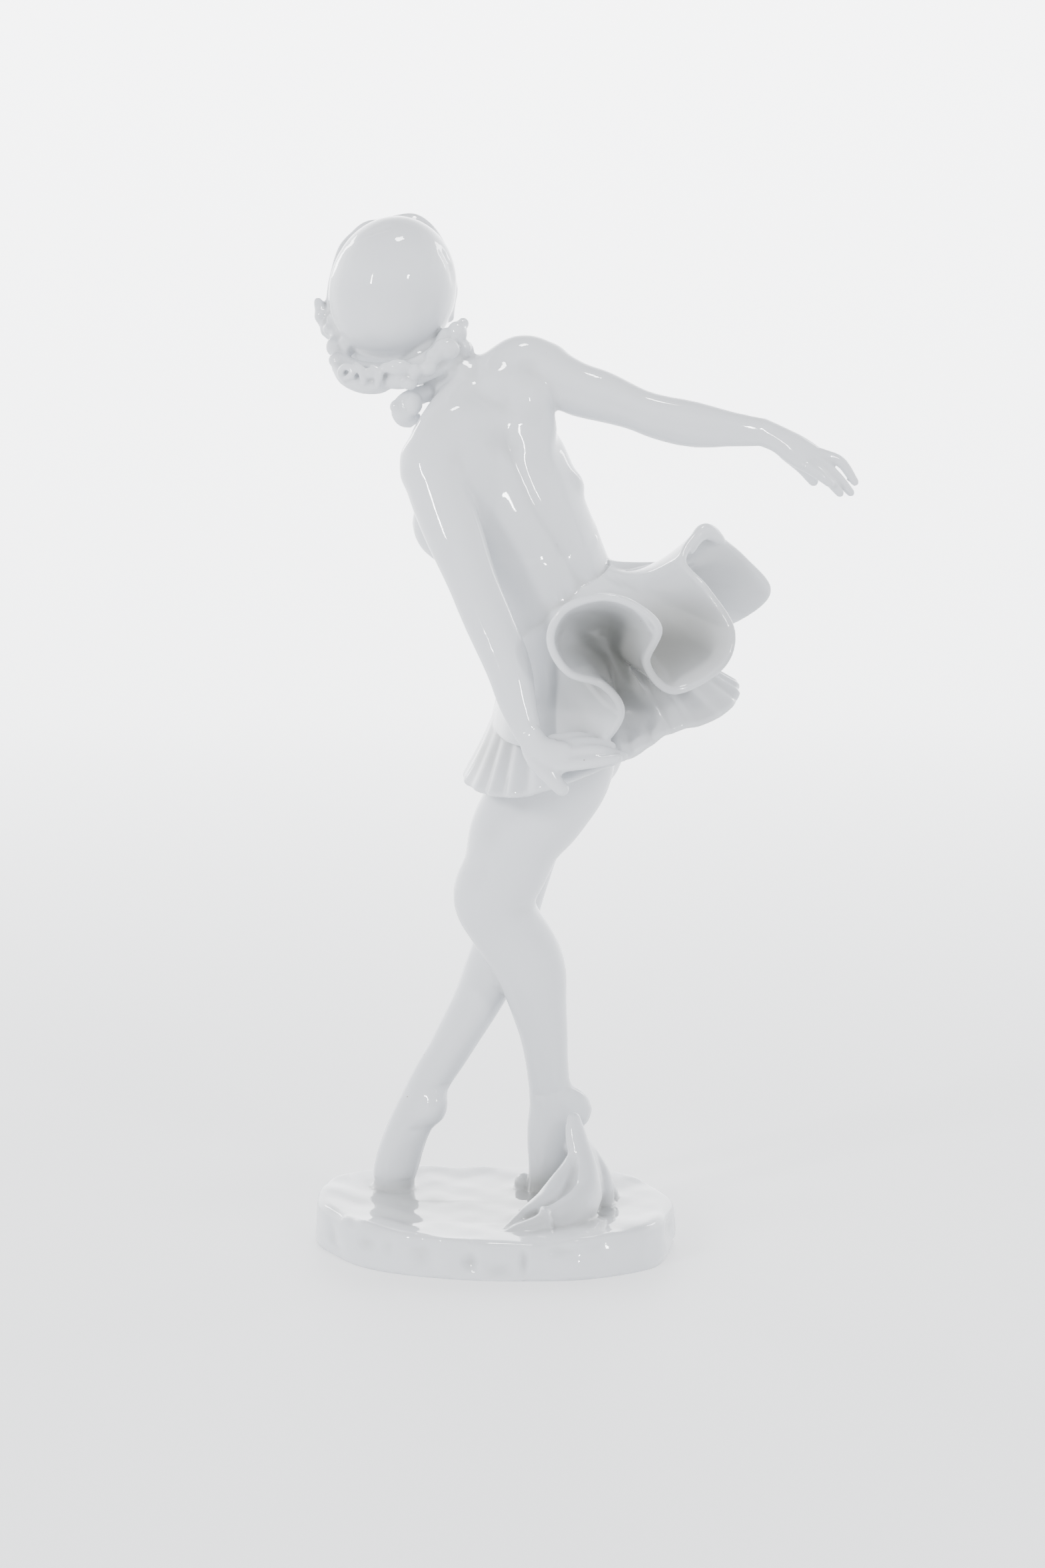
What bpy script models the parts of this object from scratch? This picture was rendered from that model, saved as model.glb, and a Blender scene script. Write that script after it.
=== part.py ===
"""Porcelain ballerina on an oval base, modelled as one fired and glazed piece.

The figure is built the way a modeller builds it: soft limb and body forms are
pressed together, worked smooth, and the hair, hands, skirts and base are luted on.
Metres, +Z up. The origin is the middle of the base's underside, +X is the side of
the stretched arm and -Y is the side that her back is turned to.
"""
import math

import bmesh
import bpy
import numpy as np
from mathutils import Vector

# Sizes that stand on their own, in metres
FIGURE_HEIGHT = 0.295         # from the top of the base to the top of the hair
BASE_WIDTH = 0.108
BASE_DEPTH = 0.092
BASE_THICKNESS = 0.0115
BASE_EDGE_ROUND = 0.003       # rounding where the base's top meets its side
FLOUNCE_THICKNESS = 0.0024    # wall of the upper skirt
PETTICOAT_THICKNESS = 0.0024  # wall of the ribbed lower skirt

# Resolution of the clay: grid of the soft forms and of the joined piece
SOFT_GRID = 0.0012
FINE_GRID = 0.0009
TRIANGLES = 9400

# The pose is kept as shares of the figure's height: the numbers below are
# 295ths of it, measured from the middle of the base's top.
SHARE = FIGURE_HEIGHT / 295.0

GLAZE = {"color": (0.86, 0.87, 0.88, 1.0), "roughness": 0.08}


def unit(v):
    v = np.asarray(v, float)
    return v / np.linalg.norm(v)


def place(points):
    """Figure shares to metres, standing on the base's top."""
    out = np.asarray(points, float) * SHARE
    out[..., 2] += BASE_THICKNESS
    return out


def spline(rows, steps, closed=False):
    """Smooth curve through every row of numbers, steps samples to a span."""
    rows = np.asarray(rows, float)
    if closed:
        padded = np.vstack([rows[-1:], rows, rows[:2]])
    else:
        padded = np.vstack([2 * rows[0] - rows[1], rows, 2 * rows[-1] - rows[-2]])
    t = np.linspace(0.0, 1.0, steps, endpoint=False)[:, None]
    spans = []
    for a, b, c, d in zip(padded, padded[1:], padded[2:], padded[3:]):
        spans.append(0.5 * (2 * b + (c - a) * t + (2 * a - 5 * b + 4 * c - d) * t ** 2
                            + (3 * b - a - 3 * c + d) * t ** 3))
    if not closed:
        spans.append(rows[-1:])
    return np.vstack(spans)


def grid_faces(rows, columns, around=True):
    """Quads between rings of vertices that are numbered ring after ring."""
    last = columns if around else columns - 1
    return [(r * columns + c, r * columns + (c + 1) % columns,
             (r + 1) * columns + (c + 1) % columns, (r + 1) * columns + c)
            for r in range(rows - 1) for c in range(last)]


def limb(stations, across, sides=20, steps=6):
    """A rounded limb through stations (x, y, z, half width, half depth).

    across is the direction of the width, one for all or one for each station.
    """
    stations = np.asarray(stations, float)
    across = np.broadcast_to(np.asarray(across, float), (len(stations), 3))
    rows = spline(np.hstack([stations, across]), steps)
    centre, half, wide = rows[:, :3], rows[:, 3:5], rows[:, 5:8]
    along = np.gradient(centre, axis=0)
    along /= np.linalg.norm(along, axis=1)[:, None]
    wide = wide - along * (wide * along).sum(1)[:, None]
    wide /= np.linalg.norm(wide, axis=1)[:, None]
    deep = np.cross(along, wide)
    turn = np.linspace(0, 2 * math.pi, sides, endpoint=False)
    rings = []

    def ring(i, shrink, shift):
        push = along[i] * half[i].mean() * shift
        rings.append(centre[i] + push
                     + shrink * (half[i, 0] * np.cos(turn)[:, None] * wide[i]
                                 + half[i, 1] * np.sin(turn)[:, None] * deep[i]))

    round_end = [(math.cos(a), math.sin(a)) for a in (1.45, 1.1, 0.75, 0.4)]
    for shrink, shift in round_end:
        ring(0, shrink, -shift)
    for i in range(len(rows)):
        ring(i, 1.0, 0.0)
    for shrink, shift in reversed(round_end):
        ring(-1, shrink, shift)
    points = np.vstack(rings)
    faces = grid_faces(len(rings), sides)
    faces.append(tuple(range(sides))[::-1])
    faces.append(tuple(range(len(points) - sides, len(points))))
    return points, faces


def lump(centre, radii, across=(1, 0, 0), upward=(0, 0, 1), rings=10, sides=16):
    """An egg form with radii along across, the third direction, and upward."""
    z = unit(upward)
    x = unit(np.asarray(across, float) - z * np.dot(across, z))
    y = np.cross(z, x)
    polar = np.linspace(0.12, math.pi - 0.12, rings)
    turn = np.linspace(0, 2 * math.pi, sides, endpoint=False)
    rows = []
    for p in polar:
        rows.append(np.asarray(centre)
                    + radii[0] * math.sin(p) * np.cos(turn)[:, None] * x
                    + radii[1] * math.sin(p) * np.sin(turn)[:, None] * y
                    + radii[2] * math.cos(p) * z)
    points = np.vstack(rows)
    faces = [f[::-1] for f in grid_faces(rings, sides)]
    faces.append(tuple(range(sides)))
    faces.append(tuple(range(len(points) - sides, len(points)))[::-1])
    return points, faces


def evened_out(curve, spread=0.07):
    """The closed curve without its folds, spread being a share of its length."""
    count = len(curve)
    off = np.minimum(np.arange(count), count - np.arange(count)) / count
    weight = np.exp(-(off / spread) ** 2)
    weight /= weight.sum()
    return np.real(np.fft.ifft(np.fft.fft(curve, axis=0) * np.fft.fft(weight)[:, None], axis=0))


def skirt(start, rim, wall, ripple, ripples, steps=6, rows=14):
    """A closed flared sheet from a waist ring to a wavy rim, given its wall.

    start holds the ring's centre and two half axes, rim the rows described at the rims.
    """
    rim = np.asarray(rim, float)
    fan = np.radians(rim[:, 3])
    curve = spline(np.column_stack([rim[:, [0, 1, 2, 4]], np.cos(fan), np.sin(fan)]), steps, closed=True)
    centre, right, front = (np.asarray(v, float) for v in start)
    ring = centre + curve[:, 4:5] * right + curve[:, 5:6] * front
    plain = evened_out(curve[:, :3])
    folds = curve[:, :3] - plain
    outward = unit(np.cross(right, front)) * 0.6 + (curve[:, :3] - centre) * 0.012
    turn = np.arange(len(curve)) * 2 * math.pi / len(curve)
    wave = np.sin(turn * ripples + 1.1 * np.sin(3 * turn + 1) + 0.7 * np.sin(7 * turn))
    wave = (wave * (0.65 + 0.35 * np.sin(5 * turn + 2)))[:, None]
    layers = []
    for v in np.linspace(0, 1, rows):
        lift = curve[:, 3:4] * 4 * v * (1 - v) + wave * ripple * v ** 2
        layers.append(ring * (1 - v) + plain * v + folds * v ** 1.25 + outward * lift)
    points = np.vstack(layers)
    faces = grid_faces(rows, len(curve))
    return solidified(points, faces, wall)


def solidified(points, faces, wall):
    """The sheet with its wall, as numbers in the same unit."""
    mesh = bpy.data.meshes.new("sheet")
    mesh.from_pydata(points.tolist(), [], faces)
    sheet = bpy.data.objects.new("sheet", mesh)
    bpy.context.collection.objects.link(sheet)
    thick = sheet.modifiers.new("wall", "SOLIDIFY")
    thick.thickness = wall
    thick.offset = 0.0
    thick.use_even_offset = False
    solid = evaluated(sheet)
    bpy.data.objects.remove(sheet)
    return coordinates(solid), [tuple(p.vertices) for p in solid.polygons]


def evaluated(thing):
    bpy.context.view_layer.update()
    graph = bpy.context.evaluated_depsgraph_get()
    return bpy.data.meshes.new_from_object(thing.evaluated_get(graph))


def coordinates(mesh):
    flat = np.empty(len(mesh.vertices) * 3)
    mesh.vertices.foreach_get("co", flat)
    return flat.reshape(-1, 3)


def directions(mesh):
    flat = np.empty(len(mesh.vertices) * 3)
    mesh.vertices.foreach_get("normal", flat)
    return flat.reshape(-1, 3)


def joined(forms):
    """Several closed forms as one mesh."""
    points, faces, count = [], [], 0
    for form_points, form_faces in forms:
        points.append(form_points)
        faces += [tuple(i + count for i in f) for f in form_faces]
        count += len(form_points)
    mesh = bpy.data.meshes.new("forms")
    mesh.from_pydata(np.vstack(points).tolist(), [], faces)
    return mesh


def pressed_together(mesh, grid, smoothing):
    """One skin over overlapping forms, with the joins worked smooth."""
    lump_of_clay = bpy.data.objects.new("clay", mesh)
    bpy.context.collection.objects.link(lump_of_clay)
    skin = lump_of_clay.modifiers.new("skin", "REMESH")
    skin.mode = "VOXEL"
    skin.voxel_size = grid
    if smoothing:
        soft = lump_of_clay.modifiers.new("soft", "SMOOTH")
        soft.factor = 0.5
        soft.iterations = smoothing
    result = evaluated(lump_of_clay)
    bpy.data.objects.remove(lump_of_clay)
    return result


def largest_shell(mesh):
    """Drops the small closed pockets that a skin can leave inside."""
    shell = bmesh.new()
    shell.from_mesh(mesh)
    left = set(shell.verts)
    islands = []
    while left:
        seed = left.pop()
        island, front = {seed}, [seed]
        while front:
            for edge in front.pop().link_edges:
                for v in edge.verts:
                    if v in left:
                        left.discard(v)
                        island.add(v)
                        front.append(v)
        islands.append(island)
    keep = max(islands, key=len)
    bmesh.ops.delete(shell, geom=[v for v in shell.verts if v not in keep], context="VERTS")
    shell.to_mesh(mesh)
    shell.free()
    return mesh


def furrow(mesh, path, width, depth):
    """Presses a soft groove along a path into the skin."""
    points, normals = coordinates(mesh), directions(mesh)
    line = place(spline(path, 8))
    away = np.full(len(points), np.inf)
    for p in line:
        away = np.minimum(away, ((points - p) ** 2).sum(1))
    push = np.exp(-away / (width * SHARE) ** 2) * depth * SHARE
    points -= normals * push[:, None]
    mesh.vertices.foreach_set("co", points.ravel())
    mesh.update()


def eased(mesh, middle, reach, rounds):
    """Works a hollow smooth and leaves the rims of the cloth round it as they are."""
    points = coordinates(mesh)
    ends = np.empty(len(mesh.edges) * 2, int)
    mesh.edges.foreach_get("vertices", ends)
    a, b = ends.reshape(-1, 2).T
    count = np.bincount(a, minlength=len(points)) + np.bincount(b, minlength=len(points))
    away = np.full(len(points), np.inf)
    for p in place(spline(FLOUNCE_RIM, 5, closed=True)[:, :3]):
        away = np.minimum(away, ((points - p) ** 2).sum(1))
    inside = 1 - (((points - place(middle)) / (np.array(reach) * SHARE)) ** 2).sum(1)
    clear = np.sqrt(away) / FLOUNCE_THICKNESS - 0.9
    weight = 0.5 * np.clip(inside * 3, 0, 1) * np.clip(clear, 0, 1)
    for _ in range(rounds):
        mean = np.column_stack([np.bincount(a, c[b], len(c)) + np.bincount(b, c[a], len(c))
                                for c in points.T]) / count[:, None]
        points += weight[:, None] * (mean - points)
    mesh.vertices.foreach_set("co", points.ravel())
    mesh.update()


# The body's own directions: her right, her front, at the hips and at the chest
HIP_RIGHT, HIP_FRONT = unit((0.68, 0.70, 0.24)), unit((-0.62, 0.76, -0.18))
CHEST_RIGHT, CHEST_FRONT = unit((0.74, 0.46, 0.49)), unit((-0.45, 0.86, -0.25))


def torso():
    stations = [
        (22.0, 11.0, 138.0, 20.0, 15.0),
        (22.5, 11.0, 148.0, 25.0, 17.5),
        (22.8, 10.5, 158.0, 25.5, 17.5),
        (21.6, 9.8, 170.0, 22.5, 15.6),
        (18.3, 9.2, 183.0, 20.0, 14.2),
        (11.8, 9.6, 195.0, 21.6, 14.6),
        (4.6, 10.5, 207.0, 24.2, 15.2),
        (-1.2, 12.0, 221.0, 24.2, 14.6),
        (-4.5, 13.5, 232.0, 20.5, 11.8),
        (-6.5, 15.0, 239.0, 14.5, 9.5),
        (-8.5, 16.0, 245.0, 9.5, 8.5),
    ]
    across = [HIP_RIGHT] * 4 + [unit(HIP_RIGHT + CHEST_RIGHT)] + [CHEST_RIGHT] * 6
    blade = (0.8, 0.4, 0.4), (-0.3, 0.1, 0.9)
    return [
        limb(stations, across, sides=28),
        limb([(-6.5, 14.5, 240.5, 9.6, 9.0), (-12.5, 17.5, 246.5, 8.8, 8.4),
              (-19.0, 21.0, 252.5, 8.6, 8.2), (-25.0, 24.5, 259.0, 9.0, 9.0)], (0.7, 0.3, 0.6)),
        lump((-15.0, 15.0, 202.6), (10.2, 9.0, 10.0), CHEST_RIGHT, (-0.3, 0.1, 0.95)),
        lump((4.6, 26.6, 211.2), (10.2, 9.0, 10.0), CHEST_RIGHT, (-0.3, 0.1, 0.95)),
        lump((20.6, 15.5, 214.0), (6.6, 7.0, 6.6)),
        lump((-9.5, 14.5, 211.0), (9.0, 8.0, 12.0), CHEST_RIGHT, (-0.3, 0.0, 0.95)),
        lump((4.0, 23.0, 219.0), (9.0, 8.0, 12.0), CHEST_RIGHT, (-0.3, 0.0, 0.95)),
        lump((24.5, -2.5, 153.5), (12.5, 12.0, 12.5)),
        lump((38.0, 10.0, 156.5), (11.5, 12.0, 12.5)),
        limb([(-6.0, 14.0, 243.0, 7.5, 7.0), (1.5, 15.5, 247.8, 8.0, 7.5),
              (8.5, 18.0, 250.9, 8.8, 8.4), (15.5, 18.5, 249.2, 8.2, 8.0)], (0, 1, 0)),
        limb([(-7.0, 12.0, 242.0, 7.5, 7.0), (-11.5, 5.0, 237.0, 7.6, 7.5),
              (-15.8, -2.0, 229.0, 8.8, 8.4), (-18.8, -6.0, 220.5, 9.0, 8.8)], (0, 1, 0)),
        lump((-5.8, -1.4, 217.0), (12.5, 6.8, 22.0), (0.74, 0.6, 0.3), (-0.35, -0.1, 0.93)),
        lump((-9.0, 0.4, 231.0), (12.0, 7.4, 10.5), (0.74, 0.6, 0.3), (-0.35, -0.1, 0.93)),
        lump((-9.8, -4.6, 218.0), (7.0, 6.0, 13.0), (0.74, 0.6, 0.3), (-0.35, -0.1, 0.93)),
        lump((7.6, 7.6, 227.0), (11.0, 6.2, 18.0), *blade),
        lump((9.0, 10.6, 239.0), (9.0, 7.4, 10.0), *blade),
        lump((3.0, 10.2, 243.5), (10.0, 6.5, 8.5), *blade),
        lump((-3.0, 9.0, 239.0), (9.0, 6.5, 9.0), *blade),
        lump((0.6, 4.2, 230.5), (6.5, 5.0, 11.0), *blade),
        lump((12.4, 11.0, 234.0), (6.2, 6.0, 9.5), *blade),
    ]


def arms():
    left = [(-18.8, -5.0, 223.0, 8.9, 8.6), (-15.6, -9.5, 213.0, 8.8, 8.4),
            (-11.3, -14.0, 202.5, 8.6, 8.0), (-6.3, -19.0, 190.0, 7.5, 7.0),
            (-1.8, -23.0, 179.5, 7.4, 6.6), (4.2, -29.0, 166.0, 6.9, 5.8),
            (6.8, -33.0, 156.5, 5.9, 4.8), (9.3, -36.0, 149.0, 4.8, 3.6),
            (11.2, -38.0, 145.0, 4.0, 3.2)]
    right = [(14.0, 17.5, 248.8, 8.2, 8.4), (19.0, 16.5, 246.2, 8.0, 8.2),
             (24.5, 15.5, 243.2, 8.1, 8.0), (31.5, 14.0, 241.2, 7.8, 7.8),
             (37.0, 12.8, 239.3, 7.1, 7.2), (42.5, 12.0, 237.2, 6.5, 6.6),
             (49.0, 10.5, 235.0, 6.8, 6.4), (58.8, 10.0, 233.0, 7.0, 6.4),
             (70.5, 10.0, 231.5, 5.4, 5.0), (80.0, 10.5, 230.5, 4.4, 3.7)]
    return [limb(left, (1.0, 0.2, 0.3)), limb(right, (0.2, 0.1, 1.0))]


def legs():
    near = [(18.5, 4.0, 150.0, 17.0, 16.0), (18.4, 1.5, 134.0, 17.5, 15.5),
            (13.4, 1.0, 122.5, 16.0, 14.6), (6.9, 1.0, 112.5, 14.4, 13.2),
            (3.6, 1.0, 102.5, 12.8, 11.8), (-0.4, 1.5, 93.5, 12.0, 10.8),
            (3.0, 3.5, 85.0, 11.2, 10.2), (8.6, 5.5, 76.0, 11.2, 10.2),
            (11.4, 7.0, 69.0, 10.5, 9.8), (13.0, 9.0, 60.5, 9.0, 8.8),
            (14.9, 11.0, 50.0, 7.5, 7.3), (16.0, 13.0, 39.5, 6.6, 6.2),
            (16.8, 14.5, 32.0, 6.7, 5.8), (18.4, 15.2, 25.0, 8.4, 5.6),
            (17.6, 15.8, 17.5, 8.0, 5.4), (16.6, 16.0, 10.0, 6.8, 5.2),
            (15.5, 16.0, 4.0, 5.6, 4.8), (15.2, 16.0, -3.0, 5.6, 5.0)]
    far = [(31.0, 20.0, 151.0, 15.0, 15.0), (21.0, 21.5, 132.0, 13.6, 14.6),
           (15.5, 22.3, 119.0, 12.4, 13.4), (10.4, 22.5, 108.0, 10.6, 11.8),
           (7.6, 22.5, 98.5, 9.9, 10.6), (4.6, 21.0, 87.0, 9.4, 10.0),
           (3.0, 19.5, 77.5, 9.0, 9.4), (-0.6, 19.0, 68.5, 8.6, 9.0),
           (-5.0, 18.5, 59.0, 7.6, 8.0), (-9.8, 18.0, 50.5, 7.0, 7.2),
           (-14.6, 18.0, 42.0, 6.5, 6.4), (-18.4, 18.0, 36.0, 6.3, 6.0),
           (-21.8, 18.0, 29.5, 6.2, 5.8), (-24.2, 18.0, 23.5, 6.7, 5.8),
           (-27.0, 18.2, 17.0, 6.8, 5.8), (-29.5, 19.0, 9.0, 7.0, 6.0),
           (-30.9, 19.0, 2.5, 6.6, 6.0), (-31.0, 19.0, -3.0, 7.0, 6.4)]
    return [limb(near, (1.0, 0.0, 0.1), sides=24), limb(far, (1.0, 0.0, 0.3), sides=24),
            lump((23.8, 14.6, 25.8), (5.2, 4.6, 6.4), upward=(-0.4, 0, 1)),
            lump((-18.8, 14.8, 25.4), (4.8, 4.8, 6.6), upward=(0.4, 0, 1)),
            lump((-2.5, 2.0, 93.0), (8.0, 8.0, 9.0))]


def hands():
    left = [limb([(11.0, -38.0, 146.0, 4.0, 3.1), (13.2, -39.3, 142.4, 5.2, 3.0),
                  (16.5, -40.0, 140.6, 5.8, 2.8), (20.0, -40.3, 140.8, 4.8, 2.3)],
                 (0.35, -0.2, 1.0), sides=14)]
    for base, middle, tip in (((19.0, -41.0, 138.6), (27.0, -41.8, 139.4), (35.6, -41.6, 140.6)),
                              ((19.5, -40.4, 141.4), (28.5, -40.2, 142.6), (37.3, -39.2, 140.8)),
                              ((18.5, -39.0, 143.6), (27.0, -38.0, 144.6), (34.0, -36.5, 143.2)),
                              ((17.0, -37.6, 145.0), (24.0, -36.0, 145.8), (29.5, -34.6, 145.0))):
        left.append(limb([(*base, 2.1, 2.0), (*middle, 1.9, 1.8), (*tip, 1.5, 1.4)],
                         (0, 0, 1), sides=10))
    left.append(limb([(12.5, -39.5, 139.6, 2.9, 2.6), (16.4, -40.6, 135.2, 2.5, 2.2),
                      (19.8, -41.0, 131.6, 2.1, 1.9)], (1, 0, 1), sides=10))
    right = [limb([(79.0, 10.5, 230.8, 4.4, 3.6), (84.0, 10.8, 228.6, 4.4, 3.2),
                   (88.6, 11.2, 225.8, 5.2, 3.0), (93.0, 11.6, 223.2, 5.2, 2.5),
                   (95.6, 12.0, 221.6, 4.6, 2.2)], (0.42, 0.60, 0.68), sides=14)]
    for base, middle, tip in (((92.6, 8.6, 220.6), (96.2, 7.8, 218.2), (99.0, 7.4, 215.8)),
                              ((94.2, 10.2, 221.4), (98.8, 9.6, 216.8), (102.2, 9.4, 212.8)),
                              ((95.8, 12.0, 222.4), (101.2, 12.0, 217.6), (105.6, 12.2, 212.8)),
                              ((96.8, 13.8, 224.0), (102.8, 14.2, 221.6), (107.0, 14.6, 215.8))):
        right.append(limb([(*base, 2.0, 1.9), (*middle, 1.8, 1.7), (*tip, 1.4, 1.3)],
                          (0, 1, 0), sides=10))
    right.append(limb([(86.5, 14.0, 224.5, 2.6, 2.4), (91.5, 17.5, 220.0, 2.2, 2.0),
                       (95.0, 18.6, 215.8, 1.8, 1.6)], (0, 1, 0), sides=10))
    return left + right


HEAD = np.array((-30.1, 24.0, 272.2))
FACE = unit((-0.34, 0.88, -0.33))
HEAD_RIGHT = unit(np.cross(FACE, (0.08, 0.1, 1.0)))
HEAD_UP = np.cross(HEAD_RIGHT, FACE)

# Rolls of hair round the cap: x, y, z and half width
FRONT_ROLL = [
    (-13.6, 30.0, 266.0, 2.0), (-13.4, 33.0, 272.0, 2.3), (-14.6, 34.5, 277.0, 2.4),
    (-16.4, 35.0, 281.8, 2.4), (-18.6, 35.0, 287.0, 2.4), (-22.2, 34.5, 291.2, 2.5),
    (-25.2, 34.5, 292.6, 2.6), (-29.0, 35.0, 291.4, 2.6), (-32.4, 35.0, 290.4, 2.6),
    (-37.0, 35.0, 288.9, 2.6), (-41.4, 34.5, 285.6, 2.5), (-44.8, 34.0, 282.0, 2.2),
    (-47.2, 33.0, 276.0, 2.0), (-48.4, 31.5, 269.5, 1.8),
]
NAPE_ROLL = [
    (-50.4, 33.0, 270.2, 1.6), (-50.2, 31.0, 265.5, 1.9), (-47.8, 27.0, 259.0, 2.0),
    (-46.2, 22.0, 254.0, 2.5), (-43.0, 17.0, 249.8, 3.3), (-38.0, 13.0, 247.6, 3.9),
    (-32.0, 10.8, 247.2, 4.1), (-26.0, 9.6, 247.8, 4.1), (-20.0, 9.0, 249.8, 4.1),
    (-15.4, 10.0, 253.6, 3.9), (-12.4, 13.0, 257.8, 3.6), (-11.8, 16.5, 261.0, 2.8),
    (-13.6, 20.0, 263.6, 1.8),
]
NECK_CURLS = [
    (-19.5, 13.5, 242.0, 2.8), (-23.0, 13.0, 239.8, 3.4), (-26.0, 12.4, 237.2, 3.3),
    (-26.6, 12.0, 234.6, 2.6), (-24.6, 11.5, 233.2, 2.0),
]


def curls(path, dice):
    """Curls laid round a roll of hair, in no strict order."""
    forms = []
    line = spline(path, 2)
    for x, y, z, size in line:
        jitter = dice.uniform(-1, 1, 5)
        outward = unit((x - HEAD[0], y - HEAD[1], 0.0))
        middle = np.array((x, y, z)) + size * (0.35 * jitter[:3] + 0.3 * outward)
        radius = (size * 0.45 + 1.35) * (1 + 0.12 * jitter[3])
        forms.append(lump(middle, (radius, radius * 0.9, radius * 1.15),
                          (jitter[4], 0.5, jitter[0]), (jitter[1], jitter[3], 1.0), 8, 12))
    return forms


def head():
    def at(right, front, up):
        return HEAD + right * HEAD_RIGHT + front * FACE + up * HEAD_UP

    def roll(rows):
        return limb([(*row[:3], row[3], row[3]) for row in rows], (0.0, 1.0, 0.0), sides=14, steps=4)

    dice = np.random.default_rng(7)
    return [
        lump(HEAD, (18.9, 20.5, 21.9), (1, 0, 0), (0.25, 0.10, 0.965), 18, 24),
        lump(at(0, 9.5, -6.0), (14.0, 13.0, 18.0), HEAD_RIGHT, HEAD_UP, 14, 20),
        lump(at(0, 17.0, -19.0), (5.0, 5.0, 5.0), HEAD_RIGHT, HEAD_UP),
        limb([(*at(0, 21.0, -1.0), 1.6, 1.6), (*at(0, 23.8, -8.5), 2.4, 2.2)],
             HEAD_RIGHT, sides=10),
        roll(FRONT_ROLL), roll(NAPE_ROLL), roll(NECK_CURLS),
    ] + curls(NAPE_ROLL, dice) + curls(NECK_CURLS, dice)


# Rims of the two skirts: x, y, z, the side of the waist that the cloth hangs from
# in degrees from +X towards +Y, and how far the cloth sags (-) or bellies out (+)
FLOUNCE_RIM = [
    (82.0, 12.0, 184.0, 6, 0), (73.8, 5.5, 194.4, 0, -1), (66.8, -0.5, 199.4, -6, -2),
    (61.8, -5.5, 204.0, -10, -3), (54.8, -15.0, 195.0, -20, -4), (61.4, -24.0, 187.0, -30, -6),
    (68.3, -30.0, 176.0, -38, -4), (65.0, -34.0, 166.0, -46, -3), (51.5, -38.0, 159.6, -52, -2),
    (43.7, -43.0, 168.0, -58, -3), (46.9, -47.0, 178.5, -64, -5), (39.5, -48.0, 185.5, -70, -6),
    (30.3, -46.0, 187.4, -77, -7), (19.6, -46.0, 183.5, -85, -6),
    (15.4, -46.0, 174.6, -92, -4), (21.4, -43.0, 165.5, -96, -2), (31.4, -42.0, 161.6, -99, 0),
    (36.6, -40.0, 153.7, -103, 1), (31.0, -36.0, 144.6, -108, 2), (21.0, -34.0, 142.3, -115, 3),
    (12.0, -30.0, 143.0, -124, 2), (5.6, -24.0, 143.6, -135, 1), (2.4, -14.0, 144.5, -148, -1),
    (1.0, -2.0, 146.0, -162, -2), (2.6, 8.0, 149.0, -178, -2), (0.6, 18.0, 146.0, -195, -1),
    (4.0, 28.0, 148.0, -212, 0), (5.0, 38.0, 145.0, -230, 1), (16.0, 42.0, 153.0, -248, 0),
    (24.0, 52.0, 152.0, -265, 1), (36.0, 47.0, 164.0, -282, -2), (48.0, 50.0, 164.0, -298, -1),
    (55.0, 40.0, 176.0, -314, -4), (66.0, 30.0, 172.0, -330, -2), (75.0, 17.0, 176.5, -345, -2),
]
PETTICOAT_RIM = [
    (67.8, -8.0, 155.6, -15, 0), (66.8, -16.0, 150.8, -24, 1), (61.0, -22.0, 148.8, -33, 2),
    (49.9, -30.0, 146.9, -48, 3), (41.2, -34.0, 141.6, -60, 3), (30.7, -36.0, 137.5, -75, 3),
    (20.2, -34.0, 133.0, -92, 3), (8.7, -29.0, 128.8, -108, 1), (-0.8, -20.0, 127.9, -125, -1),
    (-7.2, -6.0, 129.0, -155, -4), (-7.4, 8.0, 130.0, -182, -4), (-4.0, 22.0, 132.0, -205, -2),
    (4.0, 36.0, 136.0, -225, 2), (16.0, 44.0, 140.0, -248, 2), (30.0, 48.0, 144.0, -272, 2),
    (46.0, 44.0, 148.0, -295, 2), (58.0, 34.0, 152.0, -318, 2), (66.0, 18.0, 155.0, -340, 2),
    (69.0, 4.0, 157.0, -358, 1),
]
# Mouth of the hollow under the raised fold, its deepest point and where it closes behind
HOLLOW_RIM = [
    (50.0, -37.0, 158.6), (45.2, -41.0, 162.8), (43.0, -42.6, 168.4), (45.2, -45.4, 176.5),
    (39.0, -46.6, 184.0), (30.3, -45.0, 185.8), (20.6, -45.0, 182.2), (16.8, -44.6, 174.8),
    (22.4, -42.0, 166.6), (32.2, -41.0, 161.4), (36.4, -37.0, 153.0), (35.5, -29.0, 146.0),
    (41.0, -26.0, 145.0), (48.0, -28.0, 149.0),
]
HOLLOW_DEEP, HOLLOW_BACK = np.array((32.0, -21.0, 172.0)), np.array((24.0, -2.0, 174.0))


def hollow():
    """The raised fold's inside: a bowl set in its rim and closed towards the waist."""
    loop = spline(HOLLOW_RIM, 4, closed=True)
    mouth = loop.mean(0)
    rows = []
    for u in np.linspace(0.12, 1.0, 10):
        rows.append(HOLLOW_BACK * (1 - u) + mouth * u + (loop - mouth) * u ** 0.8)
    for v in np.linspace(0.06, 0.94, 9):
        layer = loop * (1 - v) + HOLLOW_DEEP * v
        layer[:, 1] = loop[:, 1] + (HOLLOW_DEEP[1] - loop[:, 1]) * (1 - (1 - v) ** 2.3)
        rows.append(layer)
    points = np.vstack(rows)
    faces = grid_faces(len(rows), len(loop))
    faces.append(tuple(range(len(loop)))[::-1])
    faces.append(tuple(range(len(points) - len(loop), len(points))))
    return points, faces


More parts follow.
